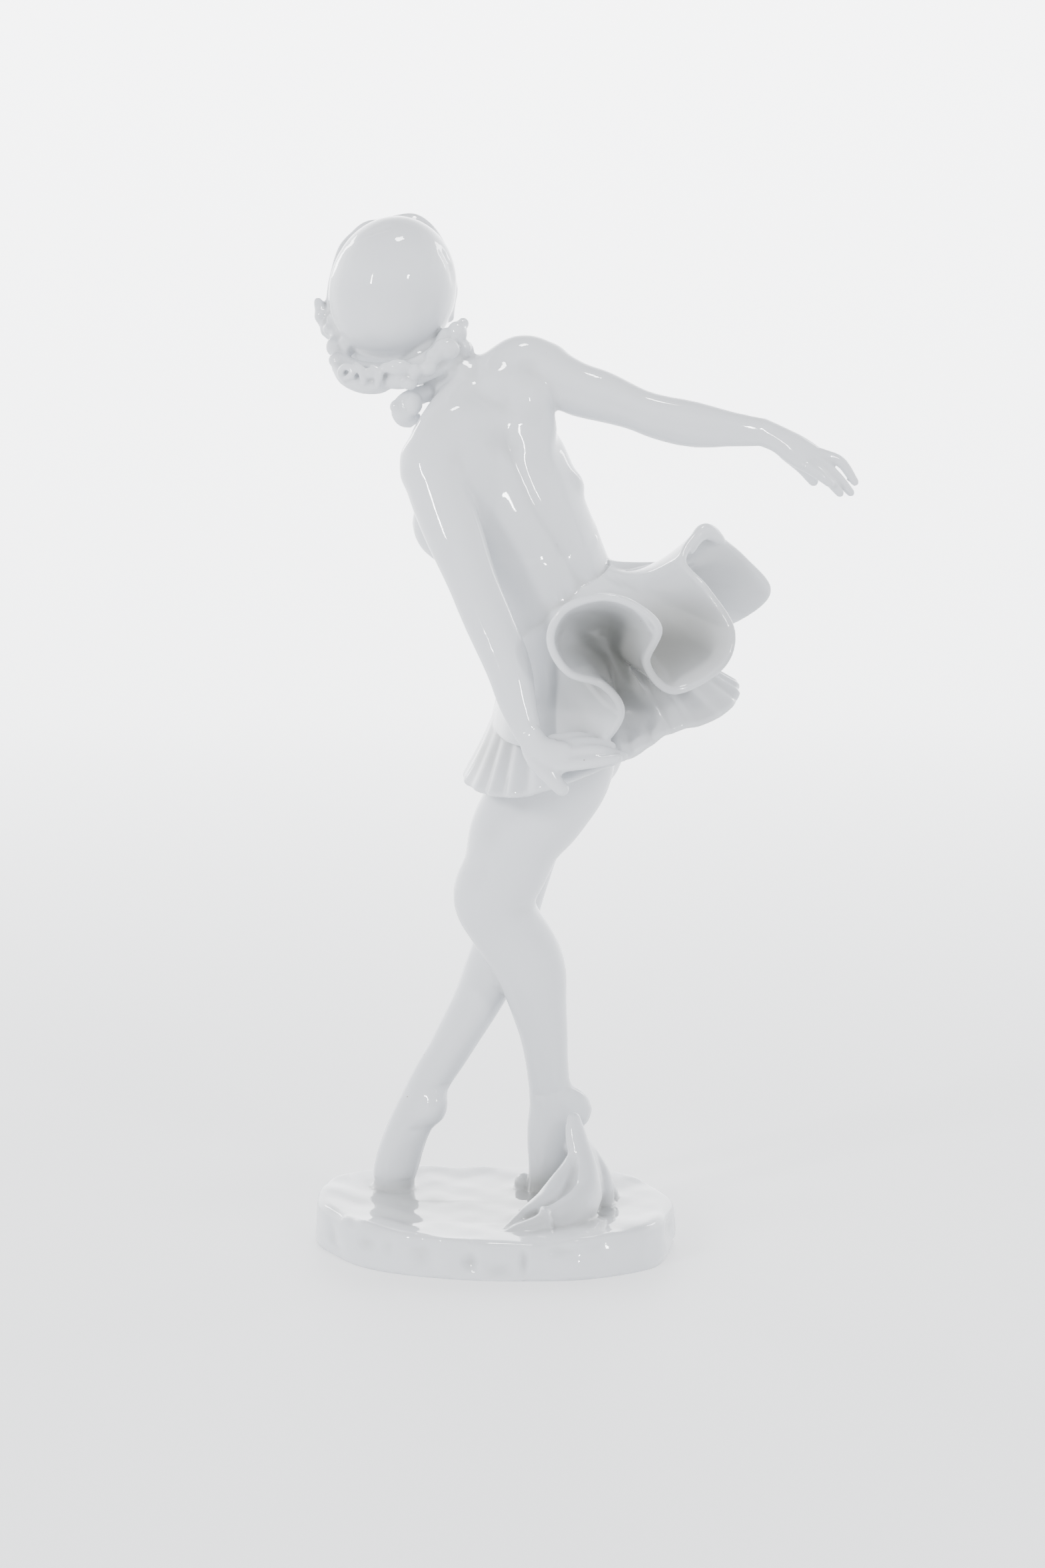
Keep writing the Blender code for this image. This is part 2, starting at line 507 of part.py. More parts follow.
def skirts():
    flounce = skirt(((19.3, 8.8, 183.5), (15.2, 1.0, 8.0), (0.8, 13.4, 3.0)),
                    FLOUNCE_RIM, FLOUNCE_THICKNESS / SHARE, 0.0, 0)
    petticoat = skirt(((20.5, 10.0, 171.0), (16.0, 1.0, 5.6), (0.8, 15.0, -2.0)),
                      PETTICOAT_RIM, PETTICOAT_THICKNESS / SHARE, 1.5, 32, steps=11)
    return [flounce, petticoat, hollow(), lump((62.2, -6.6, 202.2), (3.0, 2.6, 3.2))]


def cloth_support():
    """The fallen cloth that props the standing foot."""
    return [
        limb([(23.0, 4.0, 25.0, 2.0, 1.8), (23.4, 2.5, 20.0, 3.0, 2.6), (26.0, -1.0, 13.5, 3.4, 3.0),
              (25.4, -7.0, 7.5, 4.2, 3.6), (21.0, -16.0, 3.8, 4.8, 3.6), (13.0, -24.0, 1.4, 4.6, 3.2),
              (5.6, -30.0, 0.0, 3.0, 2.2)], (0.6, 0.6, 0.2), sides=14),
        limb([(24.4, 3.6, 22.0, 1.8, 1.6), (26.4, 0.5, 15.0, 4.0, 2.4), (27.4, -5.5, 8.0, 5.2, 2.8),
              (23.4, -15.5, 3.6, 5.6, 2.8), (15.6, -24.5, 1.2, 5.2, 2.4), (7.2, -31.0, -0.4, 3.0, 1.6)],
             (0.7, 0.5, 0.15), sides=14),
        limb([(25.5, 5.0, 19.0, 2.4, 2.0), (28.2, 2.5, 11.0, 3.6, 2.8), (29.0, -4.0, 4.5, 4.4, 3.6),
              (26.0, -15.0, 1.6, 5.0, 3.6), (18.0, -26.0, -0.2, 4.6, 3.0), (9.0, -32.0, -1.0, 3.2, 2.0)],
             (0.8, 0.4, 0.1), sides=14),
        limb([(25.0, 12.0, 15.0, 2.8, 2.6), (29.5, 11.0, 8.0, 3.8, 3.2), (32.5, 6.0, 1.0, 4.2, 3.2)],
             (0.8, 0.4, 0.1), sides=14),
        lump((10.0, 20.5, 2.5), (4.0, 4.5, 5.0)),
    ]


# Plan of the base as shares of half its width and depth, with the height in metres
# that the rim stands above the middle
BASE_PLAN = [
    (1.0, 0.10, 0.0014), (0.985, -0.16, 0.0012), (0.915, -0.57, 0.0014), (0.79, -0.77, 0.0012),
    (0.50, -0.96, 0.0006), (0.20, -1.0, -0.0004), (-0.14, -0.975, 0.0002), (-0.50, -0.835, 0.0012),
    (-0.73, -0.64, 0.0018), (-0.885, -0.345, 0.0020), (-0.975, -0.11, 0.0020),
    (-1.0, 0.12, 0.0021), (-0.985, 0.40, 0.0024), (-0.90, 0.64, 0.0024), (-0.66, 0.87, 0.0018),
    (-0.30, 0.98, 0.0010), (0.15, 1.0, 0.0010), (0.55, 0.88, 0.0014), (0.78, 0.70, 0.0016),
    (0.93, 0.42, 0.0016),
]
# Thumb dents in the base's side: degrees from +X, width in degrees, depth in metres
BASE_DENTS = [(-132, 7, 0.0008), (-118, 5, 0.0010), (-100, 6, 0.0009), (-84, 8, 0.0012),
              (-68, 5, 0.0010), (-52, 6, 0.0012), (-30, 8, 0.0008), (10, 9, 0.0008),
              (45, 10, 0.0009), (92, 12, 0.0009), (130, 9, 0.0008), (172, 10, 0.0009)]


def base():
    """The oval plinth: dented side, round top edge, slightly dished top."""
    plan = spline(BASE_PLAN, 5, closed=True)
    outline = plan[:, :2] * (BASE_WIDTH / 2, BASE_DEPTH / 2)
    rise = plan[:, 2:3]
    outward = outline / np.linalg.norm(outline, axis=1)[:, None]
    turn = np.degrees(np.arctan2(outline[:, 1], outline[:, 0]))
    dent = np.zeros(len(turn))
    for angle, width, depth in BASE_DENTS:
        off = (turn - angle + 180) % 360 - 180
        dent += depth * np.exp(-(off / width) ** 2)
    dent = dent[:, None]

    def ring(share, inset, height):
        level = np.broadcast_to(np.asarray(height, float), (len(turn), 1))
        return np.column_stack([outline * share - outward * inset, level])

    rings = [ring(1, 0.0002, -BASE_EDGE_ROUND), ring(1, 0.0002, 0.001),
             ring(1, 0.4 * dent, 0.35 * BASE_THICKNESS)]
    for k in range(7):
        lean = math.pi / 2 * k / 6
        inset = BASE_EDGE_ROUND * (1 - math.cos(lean)) + dent * (1 - 0.4 * k / 6)
        rings.append(ring(1, inset, BASE_THICKNESS + rise - BASE_EDGE_ROUND * (1 - math.sin(lean))))
    for share, part in ((0.86, 0.75), (0.72, 0.35), (0.55, 0.05), (0.25, 0.0)):
        rings.append(ring(share, 0, BASE_THICKNESS + rise * part))
    points = np.vstack(rings)
    faces = [f[::-1] for f in grid_faces(len(rings), len(turn))]
    faces.append(tuple(range(len(turn))))
    faces.append(tuple(range(len(points) - len(turn), len(points)))[::-1])
    return points, faces


def standing(forms):
    return [(place(points), faces) for points, faces in forms]


def clay_figure():
    soft = pressed_together(joined(standing(torso() + arms() + legs())), SOFT_GRID, 10)
    spine = [(-2.5, 7.5, 243.0), (0.9, 3.2, 235.0), (5.5, -0.9, 224.8), (11.6, -2.9, 210.9),
             (19.2, -2.7, 198.3), (25.0, -2.5, 188.0)]
    furrow(soft, spine, 2.4, 1.1)
    points = coordinates(soft)
    body = points, [tuple(p.vertices) for p in soft.polygons]
    added = standing(head() + hands() + skirts() + cloth_support())
    whole = pressed_together(joined([body] + added + [base()]), FINE_GRID, 3)
    eased(whole, (34.0, -30.0, 165.0), (17.0, 24.0, 20.0), 40)
    return largest_shell(whole)


def glaze():
    material = bpy.data.materials.new("white_glaze")
    material.use_nodes = True
    shader = material.node_tree.nodes["Principled BSDF"]
    shader.inputs["Base Color"].default_value = GLAZE["color"]
    shader.inputs["Roughness"].default_value = GLAZE["roughness"]
    shader.inputs["Metallic"].default_value = 0.0
    return material


def foot_cutter():
    """A block below the standing plane that leaves the foot ring flat."""
    bpy.ops.mesh.primitive_cube_add(size=1.0)
    block = bpy.context.object
    block.name = "flat_cut"
    block.scale = (2 * BASE_WIDTH, 2 * BASE_DEPTH, BASE_THICKNESS)
    block.location = (0, 0, -BASE_THICKNESS / 2)
    block.hide_render = True
    block.display_type = "WIRE"
    return block


def build():
    for thing in list(bpy.data.objects):
        bpy.data.objects.remove(thing)
    mesh = clay_figure()
    figure = bpy.data.objects.new("ballerina", mesh)
    bpy.context.collection.objects.link(figure)
    mesh.materials.append(glaze())
    faces = sum(len(p.vertices) - 2 for p in mesh.polygons)
    trim = figure.modifiers.new("fewer_faces", "DECIMATE")
    trim.ratio = TRIANGLES / faces
    flat = figure.modifiers.new("flat_foot", "BOOLEAN")
    flat.operation = "DIFFERENCE"
    flat.object = foot_cutter()
    return figure


build()
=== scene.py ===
import math

import bmesh
import bpy
import numpy as np
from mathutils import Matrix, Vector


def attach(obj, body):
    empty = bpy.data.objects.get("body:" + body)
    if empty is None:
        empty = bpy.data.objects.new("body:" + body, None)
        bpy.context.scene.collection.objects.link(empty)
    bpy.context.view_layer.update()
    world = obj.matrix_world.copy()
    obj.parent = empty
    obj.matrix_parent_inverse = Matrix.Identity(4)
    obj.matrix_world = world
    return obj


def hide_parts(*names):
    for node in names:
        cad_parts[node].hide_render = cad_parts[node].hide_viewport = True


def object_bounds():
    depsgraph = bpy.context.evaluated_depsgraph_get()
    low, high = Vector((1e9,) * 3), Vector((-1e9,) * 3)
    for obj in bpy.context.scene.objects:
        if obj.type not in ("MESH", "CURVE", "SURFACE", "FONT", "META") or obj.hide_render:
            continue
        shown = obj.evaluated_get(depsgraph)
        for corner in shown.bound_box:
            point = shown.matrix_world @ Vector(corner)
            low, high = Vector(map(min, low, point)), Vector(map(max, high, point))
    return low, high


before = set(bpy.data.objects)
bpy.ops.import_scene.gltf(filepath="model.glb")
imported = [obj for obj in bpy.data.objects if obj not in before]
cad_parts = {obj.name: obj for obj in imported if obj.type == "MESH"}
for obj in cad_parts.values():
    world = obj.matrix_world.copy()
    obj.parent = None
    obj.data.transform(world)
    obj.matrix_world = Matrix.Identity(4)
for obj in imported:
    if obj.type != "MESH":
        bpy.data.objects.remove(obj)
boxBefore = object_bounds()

figure = {
    "height": 0.295,          # top of the base to the top of the hair
    "shares": 295.0,          # the pose is written in these shares of the height
    "baseTop": 0.0115,
    "softGrid": 0.0009,       # grid of the body before it is worked smooth
    "fineGrid": 0.0005,       # grid of the joined piece
    "softRounds": 26,
    "fineRounds": 4,
    "triangles": 194000,
}
share = figure["height"] / figure["shares"]


def unit(v):
    v = np.asarray(v, float)
    return v / np.linalg.norm(v)


def place(points):
    out = np.asarray(points, float) * share
    out[..., 2] += figure["baseTop"]
    return out


def spline(rows, steps, closed=False):  # smooth curve through every row of numbers
    rows = np.asarray(rows, float)
    if closed:
        padded = np.vstack([rows[-1:], rows, rows[:2]])
    else:
        padded = np.vstack([2 * rows[0] - rows[1], rows, 2 * rows[-1] - rows[-2]])
    t = np.linspace(0.0, 1.0, steps, endpoint=False)[:, None]
    spans = []
    for a, b, c, d in zip(padded, padded[1:], padded[2:], padded[3:]):
        spans.append(0.5 * (2 * b + (c - a) * t + (2 * a - 5 * b + 4 * c - d) * t ** 2
                            + (3 * b - a - 3 * c + d) * t ** 3))
    if not closed:
        spans.append(rows[-1:])
    return np.vstack(spans)


def gridFaces(rows, columns, around=True):
    last = columns if around else columns - 1
    return [(r * columns + c, r * columns + (c + 1) % columns,
             (r + 1) * columns + (c + 1) % columns, (r + 1) * columns + c)
            for r in range(rows - 1) for c in range(last)]


def closedForm(rings, flipped=False):  # rings of points joined up and closed at both ends
    sides, points = len(rings[0]), np.vstack(rings)
    faces = gridFaces(len(rings), sides)
    faces.append(tuple(range(sides))[::-1])
    faces.append(tuple(range(len(points) - sides, len(points))))
    return points, [f[::-1] for f in faces] if flipped else faces


def turnsOf(sides):  # angles once around
    return np.linspace(0, 2 * math.pi, sides, endpoint=False)


def crossFrame(along, wide):  # square directions along a path, across it and into it
    along = along / np.linalg.norm(along, axis=1)[:, None]
    wide = wide - along * (wide * along).sum(1)[:, None]
    wide = wide / np.linalg.norm(wide, axis=1)[:, None]
    return along, wide, np.cross(along, wide)


def limb(stations, across, sides=32, steps=8):  # stations are x, y, z, half width, half depth
    stations = np.asarray(stations, float)
    across = np.broadcast_to(np.asarray(across, float), (len(stations), 3))
    rows = spline(np.hstack([stations, across]), steps)
    centre, half = rows[:, :3], rows[:, 3:5]
    along, wide, deep = crossFrame(np.gradient(centre, axis=0), rows[:, 5:8])
    turn = turnsOf(sides)
    rings = []

    def ring(i, shrink, shift):
        push = along[i] * half[i].mean() * shift
        rings.append(centre[i] + push
                     + shrink * (half[i, 0] * np.cos(turn)[:, None] * wide[i]
                                 + half[i, 1] * np.sin(turn)[:, None] * deep[i]))

    roundEnd = [(math.cos(a), math.sin(a)) for a in (1.5, 1.25, 1.0, 0.75, 0.5, 0.25)]
    for shrink, shift in roundEnd:
        ring(0, shrink, -shift)
    for i in range(len(rows)):
        ring(i, 1.0, 0.0)
    for shrink, shift in reversed(roundEnd):
        ring(-1, shrink, shift)
    return closedForm(rings)


def lump(centre, radii, across=(1, 0, 0), upward=(0, 0, 1), rings=16, sides=24):  # an egg form
    z = unit(upward)
    x = unit(np.asarray(across, float) - z * np.dot(across, z))
    y = np.cross(z, x)
    polar = np.linspace(0.1, math.pi - 0.1, rings)
    turn = turnsOf(sides)
    rows = [np.asarray(centre) + radii[0] * math.sin(p) * np.cos(turn)[:, None] * x
            + radii[1] * math.sin(p) * np.sin(turn)[:, None] * y + radii[2] * math.cos(p) * z
            for p in polar]
    return closedForm(rows, flipped=True)


def newObject(name, mesh):
    thing = bpy.data.objects.new(name, mesh)
    bpy.context.collection.objects.link(thing)
    return thing


def evaluatedMesh(thing):
    bpy.context.view_layer.update()
    graph = bpy.context.evaluated_depsgraph_get()
    return bpy.data.meshes.new_from_object(thing.evaluated_get(graph))


def readVectors(mesh, name):
    flat = np.empty(len(mesh.vertices) * 3)
    mesh.vertices.foreach_get(name, flat)
    return flat.reshape(-1, 3)


def writePoints(mesh, points):
    mesh.vertices.foreach_set("co", np.ascontiguousarray(points).ravel())
    mesh.update()


def asForm(mesh):
    return readVectors(mesh, "co"), [tuple(p.vertices) for p in mesh.polygons]


def joined(forms):
    points, faces, count = [], [], 0
    for formPoints, formFaces in forms:
        points.append(formPoints)
        faces += [tuple(i + count for i in f) for f in formFaces]
        count += len(formPoints)
    mesh = bpy.data.meshes.new("forms")
    mesh.from_pydata(np.vstack(points).tolist(), [], faces)
    return mesh


def pressedTogether(mesh, grid, smoothing):  # one skin over overlapping forms
    clay = newObject("clay", mesh)
    skin = clay.modifiers.new("skin", "REMESH")
    skin.mode = "VOXEL"
    skin.voxel_size = grid
    if smoothing:
        soft = clay.modifiers.new("soft", "SMOOTH")
        soft.factor = 0.5
        soft.iterations = smoothing
    result = evaluatedMesh(clay)
    bpy.data.objects.remove(clay)
    return result


def solidified(points, faces, wall):
    mesh = bpy.data.meshes.new("sheet")
    mesh.from_pydata(points.tolist(), [], faces)
    sheet = newObject("sheet", mesh)
    thick = sheet.modifiers.new("wall", "SOLIDIFY")
    thick.thickness = wall
    thick.offset = 0.0
    solid = evaluatedMesh(sheet)
    bpy.data.objects.remove(sheet)
    return asForm(solid)


def nearest(points, path, steps=10):  # squared distance to a path written in shares
    line = place(spline(path, steps))
    away = np.full(len(points), np.inf)
    low, high = line.min(0) - 0.012, line.max(0) + 0.012
    inside = np.all((points > low) & (points < high), axis=1)
    near = points[inside]
    best = np.full(len(near), np.inf)
    for p in line:
        best = np.minimum(best, ((near - p) ** 2).sum(1))
    away[inside] = best
    return away


def pressPath(points, normals, path, width, depth):  # depth below zero raises a ridge
    away = nearest(points, path)
    push = np.exp(-away / (width * share) ** 2) * depth * share
    return points - normals * push[:, None]


def pressPaths(points, normals, paths):  # each a path, its width and its depth
    for path, width, depth in paths:
        points = pressPath(points, normals, path, width, depth)
    return points


def wobble(points, size, seed, waves=9):  # smooth field between about -1 and 1
    dice = np.random.default_rng(seed)
    field = np.zeros(len(points))
    for _ in range(waves):
        way = unit(dice.normal(size=3)) * 2 * math.pi / (size * dice.uniform(0.7, 1.5))
        field += np.sin(points @ way + dice.uniform(0, 2 * math.pi))
    return field / waves * 1.6


print("stage: tools ready")

body = {
    "hipRight": unit((0.68, 0.70, 0.24)),
    "chestRight": unit((0.74, 0.46, 0.49)),
    "torso": [
        (22, 11, 138, 20, 15), (22.5, 11, 148, 25, 17.5), (22.8, 10.5, 158, 25.5, 17.5),
        (21.6, 9.8, 170, 22.5, 15.6), (18.3, 9.2, 183, 20, 14.2), (11.8, 9.6, 195, 21.6, 14.6),
        (4.6, 10.5, 207, 24.2, 15.2), (-1.2, 12, 221, 24.2, 14.6), (-4.5, 13.5, 232, 20.5, 11.8),
        (-6.5, 15, 239, 14.5, 9.5), (-8.5, 16, 245, 9.5, 8.5),
    ],
    "neck": [(-6.5, 14.5, 240.5, 9.6, 9), (-12.5, 17.5, 246.5, 8.8, 8.4),
             (-19, 21, 252.5, 8.6, 8.2), (-25, 24.5, 259, 9, 9)],
    "leftArm": [(-18.8, -5, 223, 8.9, 8.6), (-15.6, -9.5, 213, 8.8, 8.4),
                (-11.3, -14, 202.5, 8.6, 8), (-6.3, -19, 190, 7.5, 7),
                (-1.8, -23, 179.5, 7.4, 6.6), (4.2, -29, 166, 6.9, 5.8),
                (6.8, -33, 156.5, 5.9, 4.8), (9.3, -36, 149, 4.8, 3.6), (11.2, -38, 145, 4, 3.2)],
    "rightArm": [(14, 17.5, 248.8, 8.2, 8.4), (19, 16.5, 246.2, 8, 8.2),
                 (24.5, 15.5, 243.2, 8.1, 8), (31.5, 14, 241.2, 7.8, 7.8),
                 (37, 12.8, 239.3, 7.1, 7.2), (42.5, 12, 237.2, 6.5, 6.6),
                 (49, 10.5, 235, 6.8, 6.4), (58.8, 10, 233, 7, 6.4), (70.5, 10, 231.5, 5.4, 5),
                 (80, 10.5, 230.5, 4.4, 3.7)],
    "nearLeg": [(18.5, 4, 150, 17, 16), (18.4, 1.5, 134, 17.5, 15.5), (13.4, 1, 122.5, 16, 14.6),
                (6.9, 1, 112.5, 14.4, 13.2), (3.6, 1, 102.5, 12.8, 11.8),
                (-0.4, 1.5, 93.5, 12, 10.8), (3, 3.5, 85, 11.2, 10.2), (8.6, 5.5, 76, 11.2, 10.2),
                (11.4, 7, 69, 10.5, 9.8), (13, 9, 60.5, 9, 8.8), (14.9, 11, 50, 7.5, 7.3),
                (16, 13, 39.5, 6.6, 6.2), (16.8, 14.5, 32, 6.7, 5.8), (18.4, 15.2, 25, 8.4, 5.6),
                (17.6, 15.8, 17.5, 8, 5.4), (16.6, 16, 10, 6.8, 5.2), (15.5, 16, 4, 5.6, 4.8),
                (15.2, 16, -3, 5.6, 5)],
    "farLeg": [(31, 20, 151, 15, 15), (21, 21.5, 132, 13.6, 14.6), (15.5, 22.3, 119, 12.4, 13.4),
               (10.4, 22.5, 108, 10.6, 11.8), (7.6, 22.5, 98.5, 9.9, 10.6),
               (4.6, 21, 87, 9.4, 10), (3, 19.5, 77.5, 9, 9.4), (-0.6, 19, 68.5, 8.6, 9),
               (-5, 18.5, 59, 7.6, 8), (-9.8, 18, 50.5, 7, 7.2), (-14.6, 18, 42, 6.5, 6.4),
               (-18.4, 18, 36, 6.3, 6), (-21.8, 18, 29.5, 6.2, 5.8), (-24.2, 18, 23.5, 6.7, 5.8),
               (-27, 18.2, 17, 6.8, 5.8), (-29.5, 19, 9, 7, 6), (-30.9, 19, 2.5, 6.6, 6),
               (-31, 19, -3, 7, 6.4)],
    # the furrow of the back and the edges and creases of the shoes: path, width and depth
    "spine": [([(-2.5, 7.5, 243), (0.9, 3.2, 235), (5.5, -0.9, 224.8), (11.6, -2.9, 210.9),
                (19.2, -2.7, 198.3), (25, -2.5, 188)], 2.4, 1.1)],
    "shoeEdges": [
        ([(-25.6, 13, 32.4), (-22, 11.4, 32.9), (-18, 11.2, 33.4), (-13.6, 15, 33.4)], 0.7, 0.3),
        ([(10.6, 13.6, 31.6), (15, 8.6, 31), (20, 9.4, 32.4), (24, 14, 33.4)], 0.7, 0.2),
        ([(-24.5, 12.4, 19.4), (-20.4, 11.6, 19.6), (-16.4, 14, 20.6)], 1.2, 0.35)],
    # the bodice's upper edge: where it starts at the back, its curve to the front, its softness
    "bodiceBack": -4, "bodiceHeight": 193.8, "bodiceCurve": (0.22, 0.017),
    "bodiceEdge": 1.4, "bodiceRise": 0.3,
    "trunkRadius": 27, "trunkBottom": 150,
}


def bodyForms():
    hips, chest = body["hipRight"], body["chestRight"]
    across = [hips] * 4 + [unit(hips + chest)] + [chest] * 6
    lean = (-0.3, 0.1, 0.95)
    blade = ((0.8, 0.4, 0.4), (-0.3, 0.1, 0.9))
    shoulder = ((0.74, 0.6, 0.3), (-0.35, -0.1, 0.93))
    return [
        limb(body["torso"], across, sides=48),
        limb(body["neck"], (0.7, 0.3, 0.6)),
        lump((-13.4, 12.6, 203.4), (11.2, 9.6, 11.8), chest, lean),    # bust
        lump((5.4, 23, 211.8), (11, 9, 11.8), chest, lean),
        lump((20.6, 15.5, 214), (6.6, 7, 6.6)),
        lump((-8.8, 13, 212), (10.4, 8.6, 13.5), chest, lean),
        lump((4.2, 20.6, 220), (10.4, 8.4, 13.5), chest, lean),
        lump((24.5, -2.5, 153.5), (12.5, 12, 12.5)),
        lump((38, 10, 156.5), (11.5, 12, 12.5)),
        limb([(-6, 14, 243, 7.5, 7), (1.5, 15.5, 247.8, 8, 7.5),
              (8.5, 18, 250.9, 8.8, 8.4), (15.5, 18.5, 249.2, 8.2, 8)], (0, 1, 0)),
        limb([(-7, 12, 242, 7.5, 7), (-11.5, 5, 237, 7.6, 7.5),
              (-15.8, -2, 229, 8.8, 8.4), (-18.8, -6, 220.5, 9, 8.8)], (0, 1, 0)),
        lump((-5.8, -1.4, 217), (12.5, 6.8, 22), *shoulder),
        lump((-9, 0.4, 231), (12, 7.4, 10.5), *shoulder),
        lump((7.6, 7.6, 227), (11, 6.2, 18), *blade),
        lump((9, 10.6, 239), (9, 7.4, 10), *blade),
        lump((3, 10.2, 243.5), (10, 6.5, 8.5), *blade),
        lump((-3, 9, 239), (9, 6.5, 9), *blade),
        lump((0.6, 4.2, 230.5), (6.5, 5, 11), *blade),
        lump((12.4, 11, 234), (6.2, 6, 9.5), *blade),
        lump((-9.8, -4.6, 218), (7, 6, 13), *shoulder),
        limb(body["leftArm"], (1, 0.2, 0.3)),
        limb(body["rightArm"], (0.2, 0.1, 1)),
        limb(body["nearLeg"], (1, 0, 0.1)),
        limb(body["farLeg"], (1, 0, 0.3)),
        lump((24, 15.4, 26.2), (5.7, 5.6, 6.8), upward=(-0.4, 0, 1)),   # heels
        lump((-18.9, 15.2, 26.4), (4.9, 5.8, 6.8), upward=(0.3, 0, 1)),
        lump((-2.5, 2, 93), (8, 8, 9)),
    ]


def bodiceStep(points, normals):  # the bodice stands a little proud of her back and chest
    front = np.maximum(points[:, 1] / share - body["bodiceBack"], 0)
    slope, bend = body["bodiceCurve"]
    edge = place((0, 0, body["bodiceHeight"]))[2] + share * (slope * front + bend * front ** 2)
    axis = place(spline(body["torso"], 6)[:, :3])
    away = np.full(len(points), np.inf)
    for p in axis:
        away = np.minimum(away, ((points - p) ** 2).sum(1))
    below = np.clip(0.5 - (points[:, 2] - edge) / (body["bodiceEdge"] * share), 0, 1)
    trunk = np.clip(body["trunkRadius"] - np.sqrt(away) / share, 0, 1)
    trunk = trunk * (points[:, 2] > place((0, 0, body["trunkBottom"]))[2])
    smooth = below * below * (3 - 2 * below)
    return points + normals * (smooth * trunk * body["bodiceRise"] * share)[:, None]


def softBody():
    forms = [(place(p), f) for p, f in bodyForms()]
    mesh = pressedTogether(joined(forms), figure["softGrid"], figure["softRounds"])
    points, normals = readVectors(mesh, "co"), readVectors(mesh, "normal")
    points = pressPaths(points, normals, body["spine"])
    points = bodiceStep(points, normals)
    writePoints(mesh, points)
    return mesh


soft = softBody()
print("stage: body worked smooth", len(soft.vertices))

hands = {
    "leftPalm": [(11, -38, 146, 4, 3.1), (13.2, -39.3, 142.4, 5.2, 3),
                 (16.5, -40, 140.6, 5.8, 2.8), (20, -40.3, 140.8, 4.8, 2.3)],
    "leftFingers": [((19, -41, 138.6), (27, -41.8, 139.4), (35.6, -41.6, 140.6)),
                    ((19.5, -40.4, 141.4), (28.5, -40.2, 142.6), (37.3, -39.2, 140.8)),
                    ((18.5, -39, 143.6), (27, -38, 144.6), (34, -36.5, 143.2)), ((17, -37.6, 145),
                    (24, -36, 145.8), (29.5, -34.6, 145))],
    "leftThumb": [(12.5, -39.5, 139.6, 2.9, 2.6), (16.4, -40.6, 135.2, 2.5, 2.2),
                  (19.8, -41, 131.6, 2.1, 1.9)],
    "rightPalm": [(79, 10.5, 230.8, 4.4, 3.6), (84, 10.8, 228.6, 4.4, 3.2),
                  (88.6, 11.2, 225.8, 5.2, 3), (93, 11.6, 223.2, 5.2, 2.5),
                  (95.6, 12, 221.6, 4.6, 2.2)],
    "rightFingers": [((92.6, 8.6, 220.6), (96.2, 7.8, 218.2), (99, 7.4, 215.8)),
                     ((94.2, 10.2, 221.4), (98.8, 9.6, 216.8), (102.2, 9.4, 212.8)),
                     ((95.8, 12, 222.4), (101.2, 12, 217.6), (105.6, 12.2, 212.8)),
                     ((96.8, 13.8, 224), (102.8, 14.2, 221.6), (107, 14.6, 215.8))],
    "rightThumb": [(86.5, 14, 224.5, 2.6, 2.4), (91.5, 17.5, 220, 2.2, 2),
                   (95, 18.6, 215.8, 1.8, 1.6)],
}


def handForms():
    forms = [limb(hands["leftPalm"], (0.35, -0.2, 1.0), sides=24),
             limb(hands["leftThumb"], (1, 0, 1), sides=16),
             limb(hands["rightPalm"], (0.42, 0.60, 0.68), sides=24),
             limb(hands["rightThumb"], (0, 1, 0), sides=16)]
    for base, middle, tip in hands["leftFingers"]:
        forms.append(limb([(*base, 2.1, 2.0), (*middle, 1.9, 1.8), (*tip, 1.5, 1.4)],
                          (0, 0, 1), sides=16))
    for base, middle, tip in hands["rightFingers"]:
        forms.append(limb([(*base, 2.0, 1.9), (*middle, 1.8, 1.7), (*tip, 1.4, 1.3)],
                          (0, 1, 0), sides=16))
    return forms


